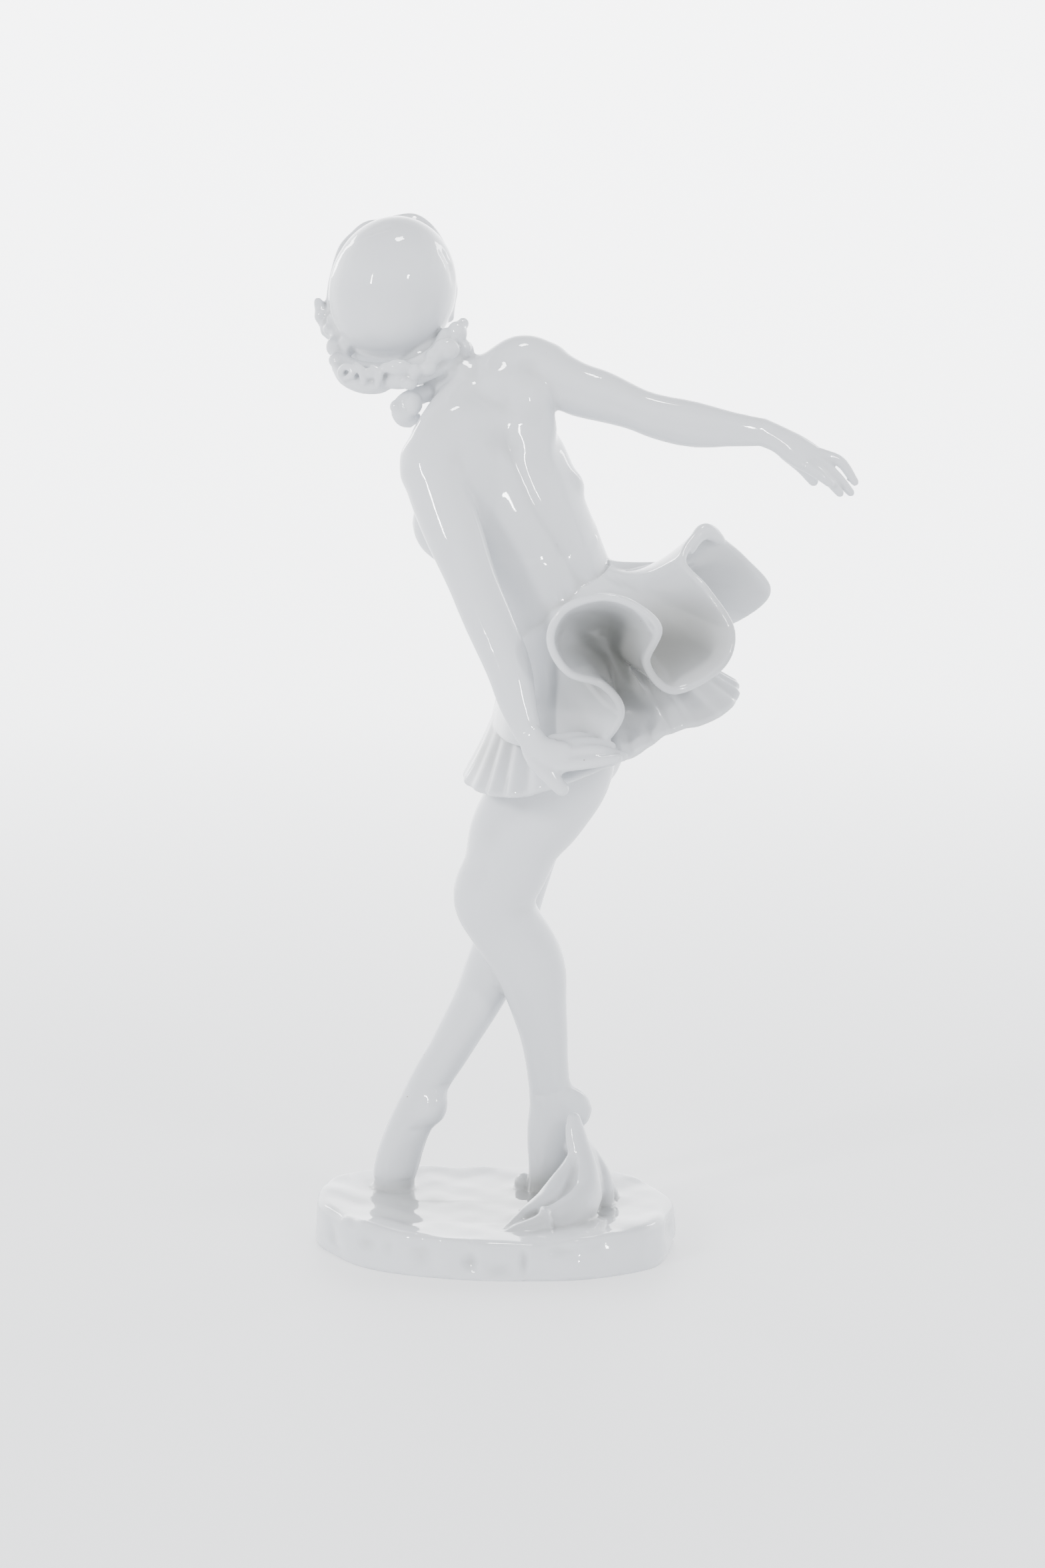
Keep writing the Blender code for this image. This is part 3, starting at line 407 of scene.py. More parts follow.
head = {
    "centre": np.array((-30.1, 24, 272.2)),
    "cap": (18.9, 20.5, 21.9),
    "capUp": (0.25, 0.10, 0.965),
    "face": unit((-0.34, 0.88, -0.33)),
    # brim of the cap: x, y, z, half width of the roll
    "brim": [
        (-13.4, 27, 264, 1.6), (-13.6, 29.5, 268, 2.2), (-13.2, 31, 272.4, 2.4),
        (-14.2, 32, 277, 2.4), (-15.2, 32.5, 281, 2.4), (-17.6, 32, 286.4, 2.4),
        (-20.6, 31.5, 290.2, 2.4), (-24.2, 31.5, 292.4, 2.3), (-28.6, 32.5, 292, 2.3),
        (-33.2, 34, 290.9, 2.3), (-37.8, 34, 290.1, 2.3), (-41.6, 34, 287.2, 2.2),
        (-44.8, 33, 283.8, 2), (-47, 31.5, 277.6, 1.8), (-48.2, 30, 271, 1.8),
        (-48, 28.5, 265.5, 1.7), (-46.8, 26, 260.2, 1.5)],
    "underRoll": [
        (-47.4, 26, 257.6, 1.6), (-46, 21, 253.4, 2.4), (-43.2, 16, 249.6, 3.2),
        (-38, 12.5, 247.8, 3.6), (-32, 10.8, 247.4, 3.8), (-26, 9.8, 248.2, 3.8),
        (-20, 9.6, 250.2, 3.8), (-15.6, 11, 253.8, 3.6), (-13.4, 15, 258, 3.4)],
    # rolls, curl ends and knobs of hair over the nape: x, y, z, half width
    "locks": [
        [(-46, 15.5, 249.4, 2), (-43.2, 11.5, 246.8, 2.8), (-38.5, 9, 245, 3),
         (-33.5, 8.6, 244.8, 2.8), (-30.5, 9, 245.8, 2)],
        [(-8.4, 16, 255.4, 1.8), (-9.6, 13.5, 252.6, 2), (-13, 10.5, 250.9, 2.2),
         (-17, 9, 249.3, 2.5), (-21.6, 8, 247.7, 2.8), (-26, 7.4, 246.5, 3),
         (-29.6, 8, 246.1, 2.7), (-31.3, 9.4, 247, 2)],
        [(-52.6, 31.5, 268.4, 1.2), (-51.6, 31, 265, 2), (-50.2, 30, 261.8, 2.2),
         (-48.8, 28.5, 258.8, 1.8)],
        [(-44, 8, 246.3, 1), (-45, 8.4, 248.3, 1.1), (-43.4, 7.2, 250.1, 1.1),
         (-41.5, 6.2, 249.2, 1.1), (-41.6, 5.8, 247.4, 1), (-42.9, 6.6, 246.9, 0.9)],
        [(-40.3, 6.6, 250.6, 1), (-38.6, 5.2, 248.8, 1.3), (-38.1, 5.2, 245.6, 1)],
        [(-35.2, 5.8, 250, 1), (-33.6, 5, 247.8, 1.3), (-34, 5.2, 244.6, 1)],
        [(-10.2, 13.5, 257.2, 1.2), (-8, 15, 256, 1.5), (-7.2, 15.5, 253.8, 1.5),
         (-8.8, 14, 252.2, 1.3)],
        [(-19.6, 13, 242, 2.6), (-23, 11.5, 241, 2.9), (-26.4, 11, 239.2, 2.8),
         (-28.2, 11.5, 236.6, 2.2), (-27, 11.6, 234, 1.8), (-24.8, 12, 233.2, 1.4)],
    ],
    "knobs": [
        ((-27.9, 5.2, 249.8), (3.9, 2.6, 2.5)), ((-23, 4.8, 248.8), (2.1, 2.2, 2.2)),
        ((-19.2, 5.6, 249.6), (2.5, 2.4, 2.4)), ((-14, 8.2, 255), (4.2, 3.6, 3.5)),
        ((-10.8, 12.6, 259.6), (3.1, 3.2, 3.6)), ((-9, 14.2, 262.4), (1.8, 1.8, 1.8)),
        ((-47.3, 21.5, 255.4), (2.6, 2.8, 3.1)), ((-46.4, 17, 251.6), (2.6, 2.6, 2.4)),
        ((-36.4, 5.4, 248.2), (1.6, 1.5, 1.6)), ((-52.6, 31.4, 268.2), (1.5, 1.6, 1.6)),
        ((-51.6, 30.4, 264.4), (2.2, 2.2, 2.6)), ((-50, 28.6, 260.4), (2, 2.2, 2.4)),
        ((-23.4, 8.6, 239.2), (2.6, 2.4, 3.4)), ((-28.8, 9.8, 238.2), (1.9, 1.9, 2)),
        ((-26.2, 10.2, 236.4), (3.2, 2.6, 3.2)), ((-24.4, 11.4, 235), (3, 2.4, 2.4)),
        ((-17.4, 6.6, 253), (2.6, 2.6, 2.6)), ((-31.4, 5.6, 249.8), (1.9, 1.9, 1.6)),
        ((-8.8, 12.8, 255.4), (2.3, 2.4, 2.4)), ((-24.6, 4.8, 245), (2.4, 2, 1.8)),
    ],
    # dimples and folds of the cap: path in shares, width, depth
    "dimples": [
        ([(-25.5, 4, 283.5), (-22, 4.5, 282.5)], 3.4, 0.55),
        ([(-31, 5, 287), (-29.6, 4, 282)], 2.6, 0.35),
        ([(-41, 18, 284.6), (-36, 14, 288), (-31.5, 13.5, 290.2)], 1.5, 0.7),
        ([(-45, 24, 283.4), (-40.5, 26, 287.4)], 1.2, 0.5),
        ([(-14.6, 16, 283), (-12.6, 18, 276)], 2.2, 0.5),
        ([(-20, 8, 266), (-17, 10, 260)], 3, 0.4),
        ([(-46.8, 18.5, 275), (-47.6, 18, 268), (-46.6, 16.5, 260.5)], 1.2, -0.4),
    ],
    "temples": [[(-12.2, 15.4, 5, 1.9), (-13.2, 14.4, -0.5, 2.2), (-14.2, 12, -7, 2.6),
                 (-13.4, 9, -13.5, 2.6), (-11.2, 5, -18.5, 2.2)],
                [(14.6, 13.6, 6, 2.2), (15.2, 12.6, 0, 2.6), (14.8, 11.4, -7, 2.8),
                 (13.6, 8.5, -13.5, 2.6), (11.4, 4, -18, 2.2)]],
    "fringe": [(-12.2, 15.4, 5.5, 2), (-10.4, 17.6, 9.2, 2.3), (-6.5, 19.4, 12, 2.4),
               (0, 20, 12.8, 2.4), (6.5, 19.4, 12, 2.4), (12, 17, 9.6, 2.3), (14.8, 13, 5.5, 2)],
    "knob": (1.7, 2.5),       # smallest and largest scattered curl
    "knobSpacing": 4.4,
    "seed": 7,
}
head["right"] = unit(np.cross(head["face"], (0.08, 0.1, 1.0)))
head["up"] = np.cross(head["right"], head["face"])


def atHead(right, front, up):
    return head["centre"] + right * head["right"] + front * head["face"] + up * head["up"]


def addNode(tree, kind, sockets=None, **settings):
    node = tree.nodes.new(kind)
    for key, value in settings.items():
        setattr(node, key, value)
    for key, value in (sockets or {}).items():
        node.inputs[key].default_value = value
    return node


def wire(tree, *links):  # each a node and its output, then a node and its input
    for source, output, target, entry in links:
        tree.links.new(source.outputs[output], target.inputs[entry])


def curlTree():  # a roll of hair along a path with small curls scattered over it
    tree = bpy.data.node_groups.new("hairCurls", "GeometryNodeTree")
    sockets = tree.interface
    sockets.new_socket("Geometry", in_out="INPUT", socket_type="NodeSocketGeometry")
    for name, kind, value in (("Spacing", "Float", 0.003), ("Seed", "Int", 1),
                              ("Smallest", "Float", 0.0015), ("Largest", "Float", 0.0025),
                              ("Material", "Material", None)):
        socket = sockets.new_socket(name, in_out="INPUT", socket_type="NodeSocket" + kind)
        if value is not None:
            socket.default_value = value
    sockets.new_socket("Geometry", in_out="OUTPUT", socket_type="NodeSocketGeometry")
    given = addNode(tree, "NodeGroupInput")
    out = addNode(tree, "NodeGroupOutput")
    profile = addNode(tree, "GeometryNodeCurvePrimitiveCircle", {"Resolution": 14, "Radius": 1.0})
    roll = addNode(tree, "GeometryNodeCurveToMesh", {"Fill Caps": True})
    radius = addNode(tree, "GeometryNodeInputRadius")
    scatter = addNode(tree, "GeometryNodeDistributePointsOnFaces", distribute_method="POISSON")
    scatter.inputs["Density Max"].default_value = 900000.0
    ball = addNode(tree, "GeometryNodeMeshIcoSphere", {"Radius": 0.86, "Subdivisions": 3})
    sunk = addNode(tree, "GeometryNodeTransform", {"Translation": (0, 0, -0.3)})
    loop = addNode(tree, "GeometryNodeCurveSpiral", {
        "Resolution": 14, "Rotations": 1.25, "Start Radius": 0.28, "End Radius": 0.78,
        "Height": -0.55})
    strand = addNode(tree, "GeometryNodeCurvePrimitiveCircle", {"Resolution": 8, "Radius": 0.34})
    coil = addNode(tree, "GeometryNodeCurveToMesh", {"Fill Caps": True})
    raised = addNode(tree, "GeometryNodeTransform", {"Translation": (0, 0, 0.36)})
    curl = addNode(tree, "GeometryNodeJoinGeometry")
    stamp = addNode(tree, "GeometryNodeInstanceOnPoints")
    size = addNode(tree, "FunctionNodeRandomValue", data_type="FLOAT")
    spin = addNode(tree, "FunctionNodeRandomValue",
                   {0: (-0.35, -0.35, -3.14), 1: (0.35, 0.35, 3.14)}, data_type="FLOAT_VECTOR")
    turned = addNode(tree, "FunctionNodeRotateRotation", rotation_space="LOCAL")
    both = addNode(tree, "GeometryNodeJoinGeometry")
    real = addNode(tree, "GeometryNodeRealizeInstances")
    paint = addNode(tree, "GeometryNodeSetMaterial")
    wire(tree, (given, "Geometry", roll, "Curve"), (profile, 0, roll, "Profile Curve"))
    if "Scale" in roll.inputs:
        wire(tree, (radius, 0, roll, "Scale"))
    wire(tree, (roll, "Mesh", scatter, "Mesh"), (given, "Spacing", scatter, "Distance Min"),
         (given, "Seed", scatter, "Seed"), (loop, 0, coil, "Curve"),
         (strand, 0, coil, "Profile Curve"), (coil, "Mesh", raised, "Geometry"),
         (ball, "Mesh", sunk, "Geometry"), (sunk, "Geometry", curl, 0),
         (raised, "Geometry", curl, 0), (scatter, "Points", stamp, "Points"),
         (curl, "Geometry", stamp, "Instance"), (given, "Smallest", size, 2),
         (given, "Largest", size, 3), (given, "Seed", size, "Seed"), (size, 1, stamp, "Scale"),
         (given, "Seed", spin, "Seed"), (scatter, "Rotation", turned, "Rotation"),
         (spin, 0, turned, "Rotate By"), (turned, 0, stamp, "Rotation"),
         (stamp, "Instances", both, 0), (roll, "Mesh", both, 0),
         (both, "Geometry", real, "Geometry"), (real, "Geometry", paint, "Geometry"),
         (given, "Material", paint, "Material"), (paint, "Geometry", out, 0))
    return tree


def pathObject(name, rows):  # a poly curve whose radius is the roll's half width
    line = spline(rows, 6)
    curve = bpy.data.curves.new(name, "CURVE")
    curve.dimensions = "3D"
    strand = curve.splines.new("POLY")
    strand.points.add(len(line) - 1)
    for point, row in zip(strand.points, line):
        point.co = (*place(row[:3]), 1.0)
        point.radius = row[3] * share
    return newObject(name, curve)


def setInput(modifier, name, value):
    for item in modifier.node_group.interface.items_tree:
        if item.item_type == "SOCKET" and item.in_out == "INPUT" and item.name == name:
            modifier[item.identifier] = value


def curlForm(name, rows, tree, seed, material):
    rows = [(*atHead(*row[:3]), row[3]) for row in rows]
    path = pathObject(name, rows)
    modifier = path.modifiers.new("curls", "NODES")
    modifier.node_group = tree
    smallest, largest = head["knob"]
    for key, value in (("Spacing", head["knobSpacing"] * share), ("Seed", seed),
                       ("Smallest", smallest * share), ("Largest", largest * share),
                       ("Material", material)):
        setInput(modifier, key, value)
    mesh = evaluatedMesh(path)
    bpy.data.objects.remove(path)
    return asForm(mesh)


face = {  # right, front and up from the middle of the head
    "skull": [((0, 9.5, -6), (14, 13, 18)), ((0, 7, 5), (14.6, 14, 14.2)), ((0, 16.6, -18.6),
              (5.6, 4.6, 5.6)), ((0, 17.4, -21.4), (3.6, 3, 2.8))],
    "cheek": ((6.6, 15.2, -8.6), (5.4, 5.2, 6.2)),
    "brow": [(9.6, 17.2, -0.6, 1.1), (6.2, 19.9, 1, 1.3), (2.6, 21, 0.2, 1.2)],
    "nose": [(0, 21, 0.6, 1.3), (0, 22.6, -4.6, 1.5), (0, 24.2, -9.2, 1.9),
             (0, 24.3, -10.4, 1.8)],
    "nostril": ((1.9, 22.4, -10.8), (1.3, 1.6, 1.2)),
    "eye": ((5.8, 17.7, -3.4), (3, 2.7, 2.5)),
    "lid": [(3.1, 19.9, -4), (4.6, 20.6, -5), (6.6, 20.4, -5.1), (8.6, 18.9, -4.2)],
    "crease": [(3.2, 20.2, -2.4), (5, 20.8, -1.2), (7, 20.3, -1.2), (8.8, 18.8, -2.4)],
    "upperLip": [(3.6, 20.4, -15.6, 0.6), (1.8, 21.6, -14.9, 0.95), (0, 21.9, -15.2, 0.9)],
    "lowerLip": [(3, 20.3, -16.6, 0.6), (1.5, 21.3, -17, 1), (0, 21.5, -17.1, 1.1)],
    "mouth": [(-3.8, 21, -15.9), (-1.6, 22.6, -15.8), (0, 22.8, -16), (1.6, 22.6, -15.8),
              (3.8, 21, -15.9)],
}


def mirrored(rows):  # a path from one side over the middle to the other
    return [(-r[0], *r[1:]) for r in rows] + [tuple(r) for r in rows[::-1] if r[0] != 0]


def faceForms():
    right, up = head["right"], head["up"]
    forms = [lump(atHead(*at), size, right, up, 24, 32) for at, size in face["skull"]]
    for side in (-1, 1):
        for name in ("cheek", "nostril", "eye"):
            (x, y, z), size = face[name]
            forms.append(lump(atHead(side * x, y, z), size, right, up))
        brow = [(*atHead(side * x, y, z), size, size) for x, y, z, size in face["brow"]]
        forms.append(limb(brow, up, sides=14))
    for name in ("upperLip", "lowerLip"):
        lip = [(*atHead(*row[:3]), row[3], row[3]) for row in mirrored(face[name])]
        forms.append(limb(lip, up, sides=14))
    nose = [(*atHead(*row[:3]), row[3], row[3]) for row in face["nose"]]
    forms.append(limb(nose, right, sides=16))
    return forms


def facePressed(points, normals):  # the lines of the lids and of the mouth
    for side in (-1, 1):
        for name, width, depth in (("lid", 0.5, 0.45), ("crease", 0.6, 0.35)):
            path = [atHead(side * x, y, z) for x, y, z in face[name]]
            points = pressPath(points, normals, path, width, depth)
    return pressPath(points, normals, [atHead(*row) for row in face["mouth"]], 0.6, 0.5)


def roundLimb(rows, sides=18):  # a roll with round ends
    return limb([(*row[:3], row[3], row[3]) for row in rows], (0.0, 1.0, 0.05), sides=sides)


def headForms():
    forms = [lump(head["centre"], head["cap"], (1, 0, 0), head["capUp"], 28, 40),
             roundLimb(head["brim"]), roundLimb(head["underRoll"])]
    forms += [roundLimb(rows) for rows in head["locks"]]
    forms += [lump(at, size) for at, size in head["knobs"]]
    return forms + faceForms()


skirts = {
    "flounceWall": 0.0024,
    "petticoatWall": 0.0024,
    "hollowRim": [
        (50, -37, 158.6), (45.2, -41, 162.8), (43, -42.6, 168.4), (45.2, -45.4, 176.5),
        (39, -46.6, 184), (30.3, -45, 185.8), (20.6, -45, 182.2), (16.8, -44.6, 174.8),
        (22.4, -42, 166.6), (32.2, -41, 161.4), (36.4, -37, 153), (35.5, -29, 146),
        (41, -26, 145), (48, -28, 149)],
    "hollowDeep": (32, -21, 172),
    "hollowBack": (24, -2, 174),
    "easedMiddle": (34, -30, 165),
    "easedReach": (17, 24, 20),
    "easedRounds": 90,
    # middle of each skirt's waist, then its half widths to the right and to the front
    "flounceWaist": ((19.3, 8.8, 183.5), (15.2, 1, 8), (0.8, 13.4, 3)),
    "petticoatWaist": ((20.5, 10, 171), (16, 1, 5.6), (0.8, 15, -2)),
    "tip": [(57.4, -10, 197.6, 1.4), (59.4, -8, 201, 2), (61.6, -6.2, 202.6, 2.5),
            (64, -3.8, 201.8, 2.3), (66.4, -1.4, 199.8, 1.6)],
    "ripple": 1.5,
    "ripples": 32,
    "spread": 0.07,           # share of the rim over which a fold is evened out
    # x, y, z, side of the waist in degrees, sag (-) or belly (+)
    "flounceRim": [
        (81.2, 12, 184, 6, 0), (73.4, 5.5, 193.6, 0, -1), (66.8, -0.5, 199.4, -6, -5),
        (61.8, -5.5, 203.6, -10, -7), (54.8, -15, 195, -20, -5), (61.4, -24, 187, -30, -6),
        (68.3, -30, 176, -38, -4), (65, -34, 166, -46, -3), (51.5, -38, 159.6, -52, -2),
        (43.7, -43, 168, -58, -3), (46.9, -45.8, 178.2, -64, -5), (39.5, -46.4, 185, -70, -6),
        (30.3, -45.6, 187, -77, -7), (20, -45.6, 183.3, -85, -6), (16.4, -45.6, 174.6, -92, -4),
        (21.4, -43, 165.5, -96, -2), (31.4, -42, 161.6, -99, 0), (36.6, -40, 153.7, -103, 1),
        (31, -36, 144.6, -108, 2), (21, -34, 142.3, -115, 3), (12, -30, 143, -124, 2),
        (5.6, -24, 143.6, -135, 1), (2.4, -14, 144.5, -148, -1), (1, -2, 146, -162, -2),
        (2.6, 8, 149, -178, -2), (0.6, 18, 146, -195, -1), (4, 28, 148, -212, 0),
        (5, 38, 145, -230, 1), (16, 42, 153, -248, 0), (24, 52, 152, -265, 1),
        (36, 47, 164, -282, -2), (48, 50, 164, -298, -1), (55, 40, 176, -314, -4),
        (66, 30, 172, -330, -2), (75, 17, 176.5, -345, -2),
    ],
    "petticoatRim": [
        (70.4, -8, 157.2, -15, 0), (69.6, -14, 153.6, -24, 1), (62.6, -22, 149.6, -33, 2),
        (49.9, -30, 146.9, -48, 3), (41.2, -34, 141.6, -60, 3), (30.7, -36, 137.5, -75, 3),
        (20.2, -34, 133, -92, 3), (8.7, -29, 128.8, -108, 1), (-0.8, -20, 127.9, -125, -1),
        (-7.2, -6, 129, -155, -4), (-7.4, 8, 130, -182, -4), (-4, 22, 132, -205, -2),
        (4, 36, 136, -225, 2), (16, 44, 140, -248, 2), (30, 48, 144, -272, 2),
        (46, 44, 148, -295, 2), (58, 34, 152, -318, 2), (66, 18, 155, -340, 2),
        (69, 4, 157, -358, 1),
    ],
}


def softened(curve, spread):  # the closed curve without its folds
    count = len(curve)
    off = np.minimum(np.arange(count), count - np.arange(count)) / count
    weight = np.exp(-(off / spread) ** 2)
    weight /= weight.sum()
    return np.real(np.fft.ifft(np.fft.fft(curve, axis=0) * np.fft.fft(weight)[:, None], axis=0))


def rolledRim(line, outward, size, sides=12):  # a round edge along a closed rim
    along = np.roll(line, -1, axis=0) - np.roll(line, 1, axis=0)
    along, wide, deep = crossFrame(along, outward)
    turn = turnsOf(sides)
    rings = [line[i] + size * (np.cos(turn)[:, None] * wide[i] + np.sin(turn)[:, None] * deep[i])
             for i in list(range(len(line))) + [0]]
    points = np.vstack(rings[:-1])
    faces = [tuple(v % len(points) for v in f) for f in gridFaces(len(rings), sides)]
    return points, faces


def skirtForm(start, rim, wall, ripple, ripples, steps, folding=1.25, rows=36):
    rim = np.asarray(rim, float)
    fan = np.radians(rim[:, 3])
    stations = np.column_stack([rim[:, [0, 1, 2, 4]], np.cos(fan), np.sin(fan)])
    curve = spline(stations, steps, closed=True)
    centre, right, front = (np.asarray(v, float) for v in start)
    ring = centre + curve[:, 4:5] * right + curve[:, 5:6] * front
    plain = softened(curve[:, :3], skirts["spread"])
    folds = curve[:, :3] - plain
    outward = unit(np.cross(right, front)) * 0.6 + (curve[:, :3] - centre) * 0.012
    turn = np.arange(len(curve)) * 2 * math.pi / len(curve)
    wave = np.sin(turn * ripples + 1.1 * np.sin(3 * turn + 1) + 0.7 * np.sin(7 * turn))
    wave = (wave * (0.65 + 0.35 * np.sin(5 * turn + 2)))[:, None]
    layers = []
    for v in np.linspace(0, 1, rows):
        lift = curve[:, 3:4] * 4 * v * (1 - v) + wave * ripple * v ** 2
        layers.append(ring * (1 - v) + plain * v + folds * v ** folding + outward * lift)
    sheet = solidified(np.vstack(layers), gridFaces(rows, len(curve)), wall / share)
    return [sheet, rolledRim(layers[-1], layers[-1] - layers[-2], 0.52 * wall / share)]


def hollowForm():  # the fold's inside: a bowl set in its rim, closed towards the waist
    loop = spline(skirts["hollowRim"], 6, closed=True)
    deep, back = np.asarray(skirts["hollowDeep"]), np.asarray(skirts["hollowBack"])
    mouth = loop.mean(0)
    rows = []
    for u in np.linspace(0.12, 1.0, 16):  # outside, from the waist to the rim
        centre = back * (1 - u) + mouth * u
        rows.append(centre + (loop - mouth) * u ** 0.8)
    for v in np.linspace(0.06, 0.94, 14):  # inside, from the rim to the deepest point
        layer = loop * (1 - v) + deep * v
        layer[:, 1] = loop[:, 1] + (deep[1] - loop[:, 1]) * (1 - (1 - v) ** 2.3)
        rows.append(layer)
    return closedForm(rows)


def skirtForms():
    flounce = skirtForm(skirts["flounceWaist"], skirts["flounceRim"], skirts["flounceWall"],
                        0.0, 0, 12)
    petticoat = skirtForm(skirts["petticoatWaist"], skirts["petticoatRim"],
                          skirts["petticoatWall"], skirts["ripple"], skirts["ripples"], 22)
    return flounce + petticoat + [hollowForm(), roundLimb(skirts["tip"])]


def eased(mesh):  # works the fold's hollow smooth, but not the rims round it
    points = readVectors(mesh, "co")
    edges = edgeArrays(mesh)
    middle, reach = place(skirts["easedMiddle"]), np.array(skirts["easedReach"]) * share
    inside = 1 - (((points - middle) / reach) ** 2).sum(1)
    near = np.flatnonzero(inside > 0)
    away = np.full(len(near), np.inf)
    for p in place(spline(skirts["flounceRim"], 8, closed=True)[:, :3]):
        away = np.minimum(away, ((points[near] - p) ** 2).sum(1))
    weight = np.zeros(len(points))
    weight[near] = np.clip(np.sqrt(away) / skirts["flounceWall"] - 0.8, 0, 1)
    weight = (0.6 * weight * np.clip(inside * 3, 0, 1))[:, None]
    for _ in range(skirts["easedRounds"]):
        points = points + weight * (neighbourMean(points, edges) - points)
    writePoints(mesh, points)


cloth = {  # the fallen cloth against the standing foot: folds, the valley between them, bulk
    "folds": [
        ([(23.9, 3.4, 25.2, 2.1, 2.3), (24.2, 2.6, 22.4, 3, 2.7), (25, 1.2, 18.6, 3.6, 3.2),
          (26.4, -1.4, 14, 3.9, 3.8), (27.4, -5.5, 9.2, 4.4, 4.3), (26.8, -11.5, 4.6, 5.4, 4.9),
          (22.4, -19.5, 1.6, 6.1, 4.9), (15, -26, 0, 5.8, 4.3), (7.4, -30.2, -1.2, 3.8, 3),
          (4.4, -31.4, -1.4, 2.1, 1.9)], (0.7, 0.5, 0.1)),
        ([(24.4, 0.2, 16.4, 1.5, 1.6), (22.6, -2.8, 12.2, 2.5, 2.4), (19.8, -6.8, 8.4, 3.2, 3),
          (16.8, -12, 5.4, 3.6, 3.2), (12.2, -18, 3.2, 3.6, 2.7), (7.6, -24, 1.4, 3, 2.2),
          (4.8, -28, 0, 2, 1.6)], (0.6, 0.6, 0.3)),
        ([(25.5, 5, 19, 2.5, 2.7), (27, 3.6, 13, 4, 4.1), (27.6, -3, 5, 5, 4.9),
          (24, -14, 1, 5.5, 4.6), (16, -24, -1, 5, 3.5)], (0.8, 0.4, 0.1)),
        ([(27, 7, 17, 2.2, 2.4), (29.4, 5.6, 12.4, 2.9, 3.1), (31.6, 3.4, 7.6, 3.6, 3.8),
          (32.2, 0.4, 2.6, 4, 4.3), (31, -2, -1, 4, 4.1)], (0.8, 0.4, 0.1)),
        ([(25, 12, 15, 3.5, 3.5), (29.5, 11, 8, 4.8, 4.3), (32.5, 6, 1, 5.2, 4.3)],
         (0.8, 0.4, 0.1)),
    ],
    "valley": ([(25.2, -2.6, 16.5), (24.6, -6.5, 11.6), (24, -11.5, 7.8), (20.2, -17.5, 5),
                (15.2, -21.6, 3.6), (9.6, -26, 2)], 1.1, 0.8),
    "bulk": [((21.5, -11, 1.5), (8, 10, 4.6)), ((26, -3, 6), (4.4, 5.5, 7)), ((14, -20, 0.5),
             (8, 8, 3.4)), ((9, 20, 1.5), (3, 3.6, 3.4))],
}


def clothForms():
    return [limb(rows, across, sides=20) for rows, across in cloth["folds"]] + [
        lump(at, size) for at, size in cloth["bulk"]]


base = {
    "width": 0.108,
    "depth": 0.092,
    "thickness": 0.0115,
    "edgeRound": 0.003,
    # shares of half width and half depth, and the rim's rise over the middle in metres
    "plan": [
        (1.0, 0.10, 0.0014), (0.985, -0.16, 0.0012), (0.915, -0.57, 0.0014),
        (0.79, -0.77, 0.0012), (0.50, -0.96, 0.0006), (0.20, -1.0, -0.0004),
        (-0.14, -0.975, 0.0002), (-0.50, -0.835, 0.0012), (-0.73, -0.64, 0.0018),
        (-0.885, -0.345, 0.0020), (-0.975, -0.11, 0.0020), (-1.0, 0.12, 0.0021),
        (-0.985, 0.40, 0.0024), (-0.90, 0.64, 0.0024), (-0.66, 0.87, 0.0018),
        (-0.30, 0.98, 0.0010), (0.15, 1.0, 0.0010), (0.55, 0.88, 0.0014), (0.78, 0.70, 0.0016),
        (0.93, 0.42, 0.0016),
    ],
    # degrees, width in degrees, depth in metres
    "dents": [(-132, 7, 0.0008), (-118, 5, 0.0010), (-100, 6, 0.0009), (-84, 8, 0.0012),
              (-68, 5, 0.0010), (-52, 6, 0.0012), (-30, 8, 0.0008), (10, 9, 0.0008),
              (45, 10, 0.0009), (92, 12, 0.0009), (130, 9, 0.0008), (172, 10, 0.0009)],
    # degrees; height, width, tallness and depth in mm of the nicks, below zero for a bump
    "marks": [
        (-147, 11.8, 2.4, 1.8, 0.6), (-140, 7.5, 3.0, 2.0, 0.8), (-131, 8.6, 1.6, 2.6, 1.0),
        (-121, 10.4, 4.6, 1.6, -0.6), (-110, 7.0, 6.0, 3.0, 0.4), (-99, 5.2, 2.2, 2.0, 1.1),
        (-95, 6.0, 1.4, 1.8, -0.4), (-88, 3.2, 3.4, 1.8, 0.6), (-79, 5.8, 1.2, 3.0, 1.0),
        (-68, 9.5, 6.0, 2.2, 0.6), (-60, 8.0, 5.0, 2.0, 0.9), (-52, 10.2, 3.4, 1.8, 0.8),
        (-44, 10.6, 5.0, 1.6, 0.7), (-46, 4.6, 3.2, 2.0, 1.0), (-53, 2.4, 1.4, 1.6, 0.8),
        (-34, 6.0, 4.0, 2.6, 0.6), (-15, 8.0, 5.0, 2.4, 0.6), (5, 5.0, 3.0, 3.0, 0.7),
        (24, 9.0, 5.0, 2.2, 0.6), (48, 6.0, 2.8, 2.6, 0.7), (75, 8.8, 5.0, 2.0, 0.6),
        (98, 5.2, 2.4, 2.6, 0.7), (125, 8.0, 4.4, 2.2, 0.6), (150, 5.8, 3.0, 2.6, 0.7),
        (172, 9.0, 4.4, 2.0, 0.6), (-162, 6.0, 3.0, 2.8, 0.7)],
    "markSpread": 1.2,
    "markDepth": 1.4,
    # waviness of the skin: size, seed and height in metres
    "waves": [(0.034, 3, 0.00060), (0.013, 4, 0.00036)],
    # a raised line along the front of the top and a shallow dish: path, width and depth
    "worked": [
        ([(-44.0, -22.0, 1.6), (-40.9, -26.6, 1.7), (-32.4, -34.2, 1.5), (-23.3, -39.2, 1.0),
          (-16.1, -41.8, 0.4), (-8.2, -43.2, -0.2)], 1.4, -0.9),
        ([(-16.0, -9.0, 0.0), (-5.0, -11.0, 0.0)], 8.0, 0.9)],
}


